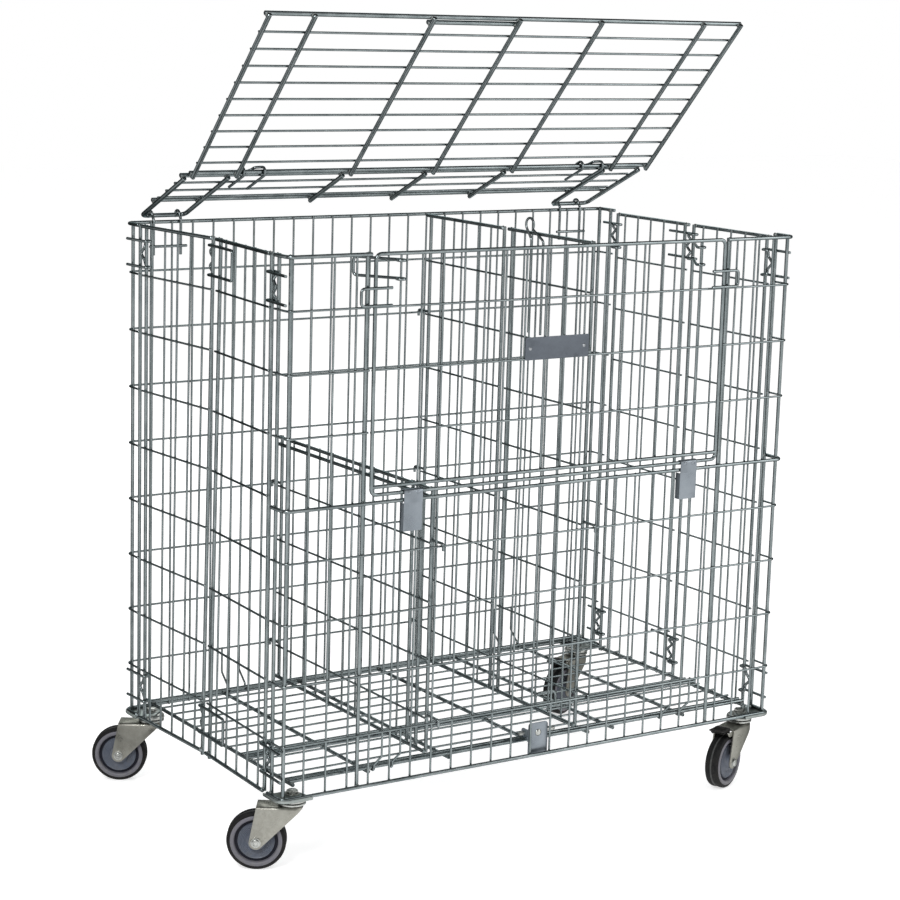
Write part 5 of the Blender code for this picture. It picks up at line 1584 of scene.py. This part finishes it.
class Graph:
    """Shader nodes that are added one by one and linked by socket name."""

    def __init__(self, tree: bpy.types.NodeTree) -> None:
        """Work on one node tree."""
        self.tree = tree

    def node(self, kind: str, inputs: Optional[dict] = None, **settings: object) -> bpy.types.Node:
        """Add a node.

        Args:
            kind: Blender's name of the node's type.
            inputs: a value, or an output to link, for each input by name or number.
            settings: properties of the node.

        Returns:
            The node.
        """
        made = self.tree.nodes.new(kind)
        for name, value in settings.items():
            setattr(made, name, value)
        self.fill(made, inputs or {})
        return made

    def fill(self, node: bpy.types.Node, inputs: dict) -> None:
        """Set or link a node's inputs.

        Args:
            node: the node.
            inputs: a value, or an output to link, for each input by name or number.
        """
        for name, value in inputs.items():
            if isinstance(value, bpy.types.NodeSocket):
                self.tree.links.new(value, node.inputs[name])
            else:
                node.inputs[name].default_value = value

    def place(self) -> bpy.types.NodeSocket:
        """Place on the object."""
        return self.node("ShaderNodeTexCoord").outputs["Object"]

    def noise(self, place: bpy.types.NodeSocket, scale: object, detail: float, roughness: float,
              distortion: float = 0.0) -> bpy.types.NodeSocket:
        """Cloudy noise."""
        inputs = {"Vector": place, "Scale": scale, "Detail": detail, "Roughness": roughness, "Distortion": distortion}
        return self.node("ShaderNodeTexNoise", inputs).outputs["Fac"]

    def maths(self, operation: str, a: object, b: object) -> bpy.types.NodeSocket:
        """Result of a sum on two numbers or sockets, kept between 0 and 1."""
        return self.node("ShaderNodeMath", {0: a, 1: b}, operation=operation, use_clamp=True).outputs[0]

    def span(self, value: object, low: float, high: float, to_low: float = 0.0,
             to_high: float = 1.0) -> bpy.types.NodeSocket:
        """Value moved from one range into another."""
        inputs = {"Value": value, "From Min": low, "From Max": high, "To Min": to_low, "To Max": to_high}
        return self.node("ShaderNodeMapRange", inputs).outputs["Result"]

    def mix(self, share: object, a: object, b: object) -> bpy.types.NodeSocket:
        """Colour between two others, through the mix node's sockets for colours."""
        return self.node("ShaderNodeMix", {0: share, 6: a, 7: b}, data_type="RGBA").outputs[2]

    def blend(self, share: bpy.types.NodeSocket, a: bpy.types.Node, b: bpy.types.Node) -> bpy.types.Node:
        """Shader between those of two nodes."""
        return self.node("ShaderNodeMixShader", {0: share, 1: a.outputs[0], 2: b.outputs[0]})


def new_group(name: str, inputs: dict[str, str],
              outputs: dict[str, str]) -> tuple[Graph, bpy.types.Node, bpy.types.Node]:
    """Start a shader node group.

    Args:
        name: its name.
        inputs: kind of socket of each input.
        outputs: kind of socket of each output.

    Returns:
        The group's graph, its input node and its output node.
    """
    tree = bpy.data.node_groups.new(name, "ShaderNodeTree")
    for way, sockets in (("INPUT", inputs), ("OUTPUT", outputs)):
        for socket, kind in sockets.items():
            tree.interface.new_socket(socket, in_out=way, socket_type="NodeSocket" + kind)
    return Graph(tree), tree.nodes.new("NodeGroupInput"), tree.nodes.new("NodeGroupOutput")


def uneven_group() -> bpy.types.NodeTree:
    """Make the node group for a coat with broad patches, fine grain and scattered dull spots.

    Returns:
        The group's tree.
    """
    kinds = dict.fromkeys(("Light", "Dark", "Dull"), "Color") | dict.fromkeys(("Patches", "Grains", "Spots"), "Float")
    graph, given, result = new_group("uneven_coat", kinds, {"Colour": "Color", "Patch": "Float", "Grain": "Float"})
    place, asked = graph.place(), given.outputs
    patch = graph.span(graph.noise(place, asked["Patches"], 3.0, 0.6), 0.34, 0.66)
    grain = graph.span(graph.noise(place, asked["Grains"], 4.0, 0.7), 0.3, 0.7)
    blotch = graph.span(graph.noise(place, 62.0, 5.0, 0.75, 0.6), 0.56, 0.70)
    dull = graph.maths("MULTIPLY", blotch, asked["Spots"])
    share = graph.maths("ADD", graph.maths("MULTIPLY", patch, 0.6), graph.maths("MULTIPLY", grain, 0.4))
    colour = graph.mix(dull, graph.mix(share, asked["Dark"], asked["Light"]), asked["Dull"])
    graph.fill(result, {"Colour": colour, "Patch": graph.maths("ADD", patch, dull), "Grain": grain})
    return graph.tree


def dust_group() -> bpy.types.NodeTree:
    """Make the node group for dust and scuffs that thin out above the floor.

    Returns:
        The group's tree.
    """
    kinds = {"Clean": "Color", "Dust": "Color", "Reach": "Float"}
    graph, given, result = new_group("floor_dust", kinds, {"Colour": "Color", "Share": "Float"})
    place, asked = graph.place(), given.outputs
    height = graph.node("ShaderNodeSeparateXYZ", {0: place}).outputs["Z"]
    near = graph.maths("SUBTRACT", 1.0, graph.maths("DIVIDE", height, asked["Reach"]))
    cloud = graph.span(graph.noise(place, 110.0, 6.0, 0.72, 0.8), 0.42, 0.72)
    share = graph.maths("MULTIPLY", cloud, graph.span(near, 0.0, 0.7, 0.12, 0.8))
    graph.fill(result, {"Colour": graph.mix(share, asked["Clean"], asked["Dust"]), "Share": share})
    return graph.tree


@dataclass(frozen=True)
class Finish:
    """A surface finish: its tones, gloss, and the sizes of its patches and grain per metre."""

    name: str
    light: Colour
    dark: Colour
    dull: Colour
    metallic: float
    smooth: float
    rough: float
    patches: float = 28.0
    grains: float = 900.0
    spots: float = 0.35
    relief: float = 0.00004
    dust: Optional[Colour] = None
    dust_reach: float = 0.10

    def make(self, uneven: bpy.types.NodeTree, dusty: bpy.types.NodeTree) -> bpy.types.Material:
        """Make the material.

        Args:
            uneven: node group of the uneven coat.
            dusty: node group of the dust near the floor.

        Returns:
            The material.
        """
        made = bpy.data.materials.new(self.name)
        made.use_nodes = True
        made.diffuse_color = (*self.light, 1.0)
        graph = Graph(made.node_tree)
        tones = {"Light": (*self.light, 1.0), "Dark": (*self.dark, 1.0), "Dull": (*self.dull, 1.0)}
        sizes = {"Patches": self.patches, "Grains": self.grains, "Spots": self.spots}
        coat = graph.node("ShaderNodeGroup", tones | sizes, node_tree=uneven).outputs
        colour, gloss = coat["Colour"], graph.span(coat["Patch"], 0.0, 1.0, self.smooth, self.rough)
        if self.dust:
            inputs = {"Clean": colour, "Dust": (*self.dust, 1.0), "Reach": self.dust_reach}
            dirt = graph.node("ShaderNodeGroup", inputs, node_tree=dusty).outputs
            colour = dirt["Colour"]
            gloss = graph.maths("ADD", gloss, graph.maths("MULTIPLY", dirt["Share"], DUST_DULLS))
        bump = graph.node("ShaderNodeBump", {"Strength": 0.5, "Distance": self.relief, "Height": coat["Grain"]})
        look = {"Base Color": colour, "Metallic": self.metallic, "Roughness": gloss, "Normal": bump.outputs["Normal"]}
        look["Specular IOR Level"] = SHINE if self.metallic or self.light[0] > 0.1 else DARK_SHINE
        if self.metallic:
            look["Specular Tint"] = METAL_EDGE
        graph.fill(graph.tree.nodes["Principled BSDF"], look)
        return made


FINISHES = (
    Finish("zinc_wire", (0.30, 0.335, 0.34), (0.13, 0.155, 0.16), (0.09, 0.105, 0.10),
           0.94, 0.14, 0.25),
    Finish("weld", (0.34, 0.36, 0.355), (0.13, 0.145, 0.14), (0.08, 0.08, 0.07),
           0.75, 0.38, 0.55, grains=1500.0, relief=0.00012),
    Finish("zinc_sheet", (0.29, 0.32, 0.35), (0.18, 0.205, 0.23), (0.14, 0.155, 0.17),
           0.86, 0.24, 0.38, patches=22.0),
    Finish("tray_zinc", (0.40, 0.435, 0.425), (0.23, 0.26, 0.25), (0.15, 0.17, 0.165),
           0.86, 0.24, 0.40, dust=(0.16, 0.155, 0.14), dust_reach=0.16),
    Finish("fork_zinc", (0.40, 0.395, 0.355), (0.25, 0.248, 0.22), (0.17, 0.168, 0.145),
           0.84, 0.24, 0.42, patches=34.0, dust=(0.24, 0.23, 0.20), dust_reach=0.12),
    Finish("bolt_zinc", (0.56, 0.57, 0.55), (0.34, 0.35, 0.33), (0.22, 0.22, 0.19),
           0.90, 0.20, 0.36, patches=120.0),
    # Painted shade: near-black ring in the ball race's recessed gap
    Finish("race_gap", (0.030, 0.030, 0.028), (0.012, 0.012, 0.011), (0.04, 0.036, 0.03),
           0.0, 0.45, 0.7),
    Finish("tyre_rubber", (0.013, 0.013, 0.014), (0.006, 0.006, 0.0065), (0.022, 0.021, 0.020),
           0.0, 0.50, 0.68, grains=1400.0, dust=(0.045, 0.043, 0.040)),
    Finish("tread_rubber", (0.016, 0.017, 0.018), (0.007, 0.0075, 0.008), (0.030, 0.030, 0.029),
           0.0, 0.58, 0.80, patches=90.0, grains=1600.0, spots=0.5, relief=0.00015, dust=(0.055, 0.053, 0.050)),
    Finish("tread_scuff", (0.110, 0.112, 0.110), (0.035, 0.037, 0.037), (0.16, 0.157, 0.15),
           0.0, 0.70, 0.90, patches=70.0, grains=1600.0, spots=0.6, relief=0.00015),
    Finish("rim_plastic", (0.195, 0.192, 0.225), (0.145, 0.142, 0.172), (0.12, 0.118, 0.135),
           0.0, 0.36, 0.50, grains=1200.0, dust=(0.24, 0.235, 0.225)),
    # Painted shade: near-black, darkened copy of the disc's blue-grey, in the recess between rim and disc
    Finish("groove_plastic", (0.022, 0.024, 0.036), (0.012, 0.013, 0.020), (0.035, 0.036, 0.045),
           0.0, 0.45, 0.62),
    Finish("disc_plastic", (0.145, 0.168, 0.215), (0.105, 0.122, 0.160), (0.085, 0.096, 0.122),
           0.0, 0.30, 0.46, grains=1200.0, dust=(0.17, 0.175, 0.19)),
    Finish("pedal_plastic", (0.012, 0.012, 0.012), (0.006, 0.006, 0.006), (0.022, 0.021, 0.020),
           0.0, 0.34, 0.52, grains=1500.0, dust=(0.05, 0.048, 0.044), dust_reach=0.2),
    Finish("plate_metal", (0.165, 0.185, 0.215), (0.115, 0.13, 0.15), (0.09, 0.10, 0.112),
           0.45, 0.38, 0.55, patches=40.0, spots=0.5),
    Finish("rivet_metal", (0.42, 0.44, 0.46), (0.27, 0.285, 0.30), (0.20, 0.205, 0.205),
           0.85, 0.28, 0.42, patches=200.0),
)


@dataclass
class Camera:
    """The photograph's camera, in the part's frame."""

    place: tuple[float, float, float] = (-2.28525, -3.45943, 1.41098)
    yaw: float = 0.58699
    pitch: float = 0.189095
    roll: float = 0.028817
    pixels: float = 2356.63
    width: float = 900.0
    sensor: float = 36.0

    def add(self) -> None:
        """Put the camera in the scene."""
        data = bpy.data.cameras.new("photo_view")
        data.sensor_fit = "HORIZONTAL"
        data.sensor_width = self.sensor
        data.lens = self.pixels / self.width * self.sensor
        data.clip_end = 60.0
        level = math.cos(self.pitch)
        ahead = Vector((math.sin(self.yaw) * level, math.cos(self.yaw) * level, -math.sin(self.pitch)))
        right = Vector((math.cos(self.yaw), -math.sin(self.yaw), 0.0))
        up = right.cross(ahead)
        cos, sin = math.cos(self.roll), math.sin(self.roll)
        turned = Matrix((cos * right + sin * up, cos * up - sin * right, -ahead)).transposed().to_4x4()
        camera = add_object("photo_view", data)
        camera.matrix_world = Matrix.Translation(self.place) @ turned
        bpy.context.scene.camera = camera


@dataclass(frozen=True)
class Lamp:
    """A soft studio lamp: name, place, size across and power."""

    name: str
    place: tuple[float, float, float]
    size: float
    power: float


@dataclass
class Studio:
    """Pale floor, white surroundings and soft lamps.

    A patch is a level direction, the cosines between which it fades in, and its brightness in reflections.
    """

    lamps: tuple[Lamp, ...] = (
        Lamp("key", (-3.2, -2.4, 3.4), 1.2, 88.0),
        Lamp("fill", (3.4, -3.0, 2.2), 2.2, 38.0),
        Lamp("back", (1.6, 3.6, 3.0), 2.0, 45.0),
    )
    patches: tuple[tuple[Point, float, float, float], ...] = (
        ((-0.64, -0.77, 0.0), 0.66, 0.97, 1.0), ((0.60, -0.80, 0.0), 0.66, 0.97, 1.0),
        ((0.60, 0.80, 0.0), 0.62, 0.96, 0.85), ((-0.85, 0.53, 0.0), 0.89, 0.98, 0.60),
    )
    shade: float = 0.035
    ambient: float = 0.50
    floor_own: float = 0.60
    floor_mirrored: float = 1.5
    aim: tuple[float, float, float] = (0.0, 0.0, 0.55)

    def bright(self, graph: Graph, place: bpy.types.NodeSocket) -> bpy.types.NodeSocket:
        """How bright the studio is in reflections, where it has a bright patch in each of four directions.

        Args:
            graph: the material or world.
            place: a direction from the object, or a place on the floor round it.

        Returns:
            Brightness from 0 to 1.
        """
        parts = graph.node("ShaderNodeSeparateXYZ", {0: place}).outputs
        flat = graph.node("ShaderNodeCombineXYZ", {0: parts["X"], 1: parts["Y"]}).outputs[0]
        level = graph.node("ShaderNodeVectorMath", {0: flat}, operation="NORMALIZE").outputs[0]
        total: object = 0.0
        for toward, low, high, share in self.patches:
            facing = graph.node("ShaderNodeVectorMath", {0: level, 1: toward}, operation="DOT_PRODUCT").outputs["Value"]
            total = graph.maths("ADD", total, graph.span(facing, low, high, 0.0, share))
        return total

    def floor(self) -> None:
        """Lay the floor, white to the camera except for the object's shadow."""
        part = bmesh.new()
        bmesh.ops.create_grid(part, x_segments=2, y_segments=2, size=14.0)
        made = bpy.data.materials.new("floor_paint")
        made.use_nodes = True
        graph = Graph(made.node_tree)
        shader = graph.tree.nodes["Principled BSDF"]
        graph.fill(shader, {"Base Color": (0.80, 0.80, 0.80, 1.0), "Roughness": 0.9})
        ray = graph.node("ShaderNodeLightPath").outputs
        seen = graph.maths("ADD", ray["Is Camera Ray"], ray["Is Glossy Ray"])
        seen = graph.maths("ADD", seen, ray["Is Transmission Ray"])
        own = graph.maths("MULTIPLY", seen, self.floor_own)
        lift = graph.node("ShaderNodeEmission", {"Color": WHITE, "Strength": own})
        both = graph.node("ShaderNodeAddShader", {0: shader.outputs[0], 1: lift.outputs[0]})
        gain = self.floor_mirrored
        lit = graph.span(self.bright(graph, graph.place()), 0.0, 1.0, self.shade * gain, gain)
        mirrored = graph.node("ShaderNodeEmission", {"Color": WHITE, "Strength": lit})
        surface = graph.blend(ray["Is Glossy Ray"], both, mirrored)
        graph.fill(graph.tree.nodes["Material Output"], {"Surface": surface.outputs[0]})
        mesh = as_mesh("floor", part)
        mesh.materials.append(made)
        add_object("floor", mesh)

    def surroundings(self) -> None:
        """Make surroundings that are white to the camera, plain as a light, and in patches in reflections."""
        world = bpy.data.worlds.new("studio")
        world.use_nodes = True
        bpy.context.scene.world = world
        graph = Graph(world.node_tree)
        ray = graph.node("ShaderNodeLightPath").outputs
        way = graph.node("ShaderNodeTexCoord").outputs["Generated"]
        height = graph.node("ShaderNodeSeparateXYZ", {0: way}).outputs["Z"]
        lit = graph.maths("MULTIPLY", self.bright(graph, way), graph.span(height, 0.30, 0.75, 1.0, 0.12))
        sky = graph.mix(lit, (self.shade, self.shade, self.shade, 1.0), WHITE)
        patchy, plain, white = (
            graph.node("ShaderNodeBackground", {"Color": colour, "Strength": strength})
            for colour, strength in ((sky, 1.0), (WHITE, self.ambient), (WHITE, 1.0))
        )
        mirrored = graph.maths("ADD", ray["Is Glossy Ray"], ray["Is Transmission Ray"])
        surface = graph.blend(ray["Is Camera Ray"], graph.blend(mirrored, plain, patchy), white)
        output = next(n for n in graph.tree.nodes if n.type == "OUTPUT_WORLD")
        graph.fill(output, {"Surface": surface.outputs[0]})

    def light(self) -> None:
        """Hang the lamps."""
        for lamp in self.lamps:
            data = bpy.data.lights.new(lamp.name, "AREA")
            data.size = lamp.size
            data.energy = lamp.power
            obj = add_object(lamp.name, data)
            obj.location = lamp.place
            obj.rotation_euler = (Vector(self.aim) - Vector(lamp.place)).to_track_quat("-Z", "Y").to_euler()


class Look(Enum):
    """A piece's material slot in the record, then its finishes in the order of their indices."""

    WELDED = ("zinc_wire", "zinc_wire", "weld")
    BENT = ("zinc_wire", "zinc_wire")
    SHEET = ("zinc_sheet", "zinc_sheet")
    LABEL = ("plate_metal", "plate_metal", "rivet_metal")
    LOCK_PLATE = ("zinc_sheet", "zinc_sheet", "bolt_zinc")
    LOCK_ROD = ("zinc_sheet", "bolt_zinc")
    TRAY = ("zinc_sheet", "tray_zinc")
    # The race's last finish is painted shade in its gap
    RACE = ("castor_zinc", "bolt_zinc", "race_gap")
    FORK = ("castor_zinc", "fork_zinc")
    AXLE = ("castor_zinc", "bolt_zinc")
    # The wheel's fourth finish is painted shade in the groove
    WHEEL = (
        "wheel_rubber", "tyre_rubber", "tread_rubber", "rim_plastic", "groove_plastic", "disc_plastic", "tread_scuff",
    )
    PEDAL = ("pedal_plastic", "pedal_plastic")


class Trolley:
    """The whole trolley, piece by piece."""

    def __init__(self) -> None:
        """Make the materials and the sub-assemblies."""
        uneven, dusty = uneven_group(), dust_group()
        self.finish = {f.name: f.make(uneven, dusty) for f in FINISHES}
        self.gate, self.lid, self.floor, self.castor = Gate(), Lid(), Floor(), Castor()

    def add(self, name: str, look: Look, body: str, node: str, build: Callable[..., None], *given: object,
            place: Optional[Matrix] = None) -> None:
        """Build one piece.

        Args:
            name: the piece's name.
            look: its slot and finishes.
            body: CAD body that it rides on.
            node: CAD node that it replaces.
            build: method of a sub-assembly that makes it.
            given: what else that method takes.
            place: where it goes, if it isn't built in the cage's own frame.
        """
        work = Work(place)
        build(work, *given)
        slot, *finishes = look.value
        work.piece(name, body, slot, [self.finish[finish] for finish in finishes], node)

    def cage(self) -> None:
        """Make the two panels, the folding sides and their clips."""
        for panel, node in ((EndPanel(Face.REAR), "rear_panel"), (FrontPanel(Face.FRONT), "front_panel")):
            self.add(f"{node}_wires", Look.WELDED, "cage", node, panel.build)
        for side, drop, low, high in ((Side.LEFT, 0.0, 0.008, 0.020), (Side.RIGHT, 0.006, 0.0, 0.0)):
            shape = FoldingSide(side, drop, low, high)
            clips = HingeClips(shape)
            bottom = clips.bottom.lowered(drop)
            for half, top in ((Face.FRONT, clips.front), (Face.REAR, clips.rear)):
                node = f"{side.value}_side_{half.word}_half"
                self.add(f"{node}_wires", Look.WELDED, "cage", node, shape.build_leaf, half)
                for where, legs in (("top", top), ("bottom", bottom)):
                    node = f"{half.word}_{side.value}_hinge_clip_{where}"
                    self.add(f"{node}_wire", Look.BENT, "cage", node, clips.corner, half, legs)
            left = side is Side.LEFT
            bend, top = (clips.left_mid, clips.left_middle) if left else (clips.right_mid, clips.right_middle)
            for where, legs in (("top", top), ("bottom", bottom)):
                node = f"{side.value}_mid_clip_{where}"
                self.add(f"{node}_wire", Look.BENT, "cage", node, bend, legs)

    def front_gate(self) -> None:
        """Make the gate, its latches, sheet clips and plate."""
        gate = self.gate
        self.add("gate_wires", Look.WELDED, "gate", "gate", gate.build_frame)
        for side, centre in zip(Side, gate.clip_centres):
            node = f"gate_latch_{side.value}"
            self.add(f"{node}_wire", Look.BENT, node, node, gate.build_latch, side)
            node = f"gate_hinge_clip_{side.value}"
            self.add(f"{node}_sheet", Look.SHEET, "cage", node, gate.build_clip, centre)
        self.add("label_plate_bare", Look.LABEL, "gate", "label_plate", gate.build_plate)

    def inside(self) -> None:
        """Make the dividers, their lock pin, the floor and its lock."""
        full, half = (0.030, CAGE.height), (0.030, 0.470, 0.483)
        middle, floor = CAGE.middle, self.floor
        hooks = tuple((face, i) for face in Face for i in (0, 3))
        leaves = {
            "divider_front_leaf": Divider(0.605, 0.030, middle, full, 8, 5, hooks[:2]),
            "divider_rear_leaf": Divider(0.605, CAGE.depth - middle, 0.537, full, 8, 5, hooks[2:] + ((Face.REAR, 6),)),
            "half_height_divider": Divider(0.2925, 0.030, 0.537, half, 4, 10, hooks, (0.062, 0.090)),
        }
        for node, leaf in leaves.items():
            self.add(f"{node}_wires", Look.WELDED, "cage", node, leaf.build)
        self.add("divider_lock_pin_wire", Look.BENT, "divider_lock_pin", "divider_lock_pin", LockPin().build)
        self.add("floor_grid_wires", Look.WELDED, "cage", "floor_grid", floor.build_grid)
        self.add("floor_lock_plate_sheet", Look.LOCK_PLATE, "cage", "floor_lock_plate", floor.build_lock_plate)
        self.add("floor_lock_pin_rod", Look.LOCK_ROD, "floor_lock_pin", "floor_lock_pin", floor.build_lock_pin)

    def open_lid(self) -> None:
        """Make the lid's sections, hinge wires and hinge loops."""
        for build, name in ((self.lid.build_rear, "rear"), (self.lid.build_front, "front")):
            node = f"lid_{name}_section"
            self.add(f"{node}_wires", Look.WELDED, f"lid_{name}", node, build)
        for side in Side:
            node = f"lid_hinge_wire_{side.value}"
            self.add(f"{node}_bent", Look.BENT, "lid_rear", node, self.lid.build_hinge_wire, side)
            node = f"lid_hinge_loops_{side.value}"
            self.add(f"{node}_wires", Look.WELDED, "cage", node, self.lid.build_loops, side)

    def castors(self) -> None:
        """Make the four castors."""
        make = self.castor
        for corner in (
            Corner("front_left", False, Face.FRONT, 146.4), Corner("front_right", True, Face.FRONT, 202.5),
            Corner("rear_left", False, Face.REAR, 146.4), Corner("rear_right", True, Face.REAR, 202.5),
        ):
            name, turned, braked = corner.name, corner.turned, corner.right
            stem = Matrix.Translation((*corner.stem, 0.0))
            castor, wheel, pedal = f"castor_{name}", f"wheel_{name}", f"brake_pedal_{name}"
            self.add(f"corner_tray_{name}", Look.TRAY, "cage", f"corner_plate_{name}", make.build_plate, corner)
            self.add(f"race_and_bolt_{name}", Look.RACE, "cage", f"swivel_head_{name}", make.build_head, place=stem)
            self.add(f"pressed_fork_{name}", Look.FORK, castor, f"fork_{name}", make.build_fork, braked, place=turned)
            self.add(f"axle_bolt_{name}", Look.AXLE, castor, f"axle_{name}", make.build_axle, place=turned)
            self.add(f"tyred_wheel_{name}", Look.WHEEL, wheel, wheel, make.build_wheel, place=turned)
            if braked:
                self.add(f"ribbed_pedal_{name}", Look.PEDAL, pedal, pedal, make.build_pedal, place=turned)


def main() -> None:
    """Build the trolley and its studio in order."""
    logging.basicConfig(level=logging.INFO, format="%(message)s")
    trolley = Trolley()
    trolley.cage()
    trolley.front_gate()
    trolley.inside()
    trolley.open_lid()
    trolley.castors()
    Camera().add()
    studio = Studio()
    studio.floor()
    studio.surroundings()
    studio.light()
    bpy.context.scene.view_settings.view_transform = "Standard"


if __name__ == "__main__":
    main()
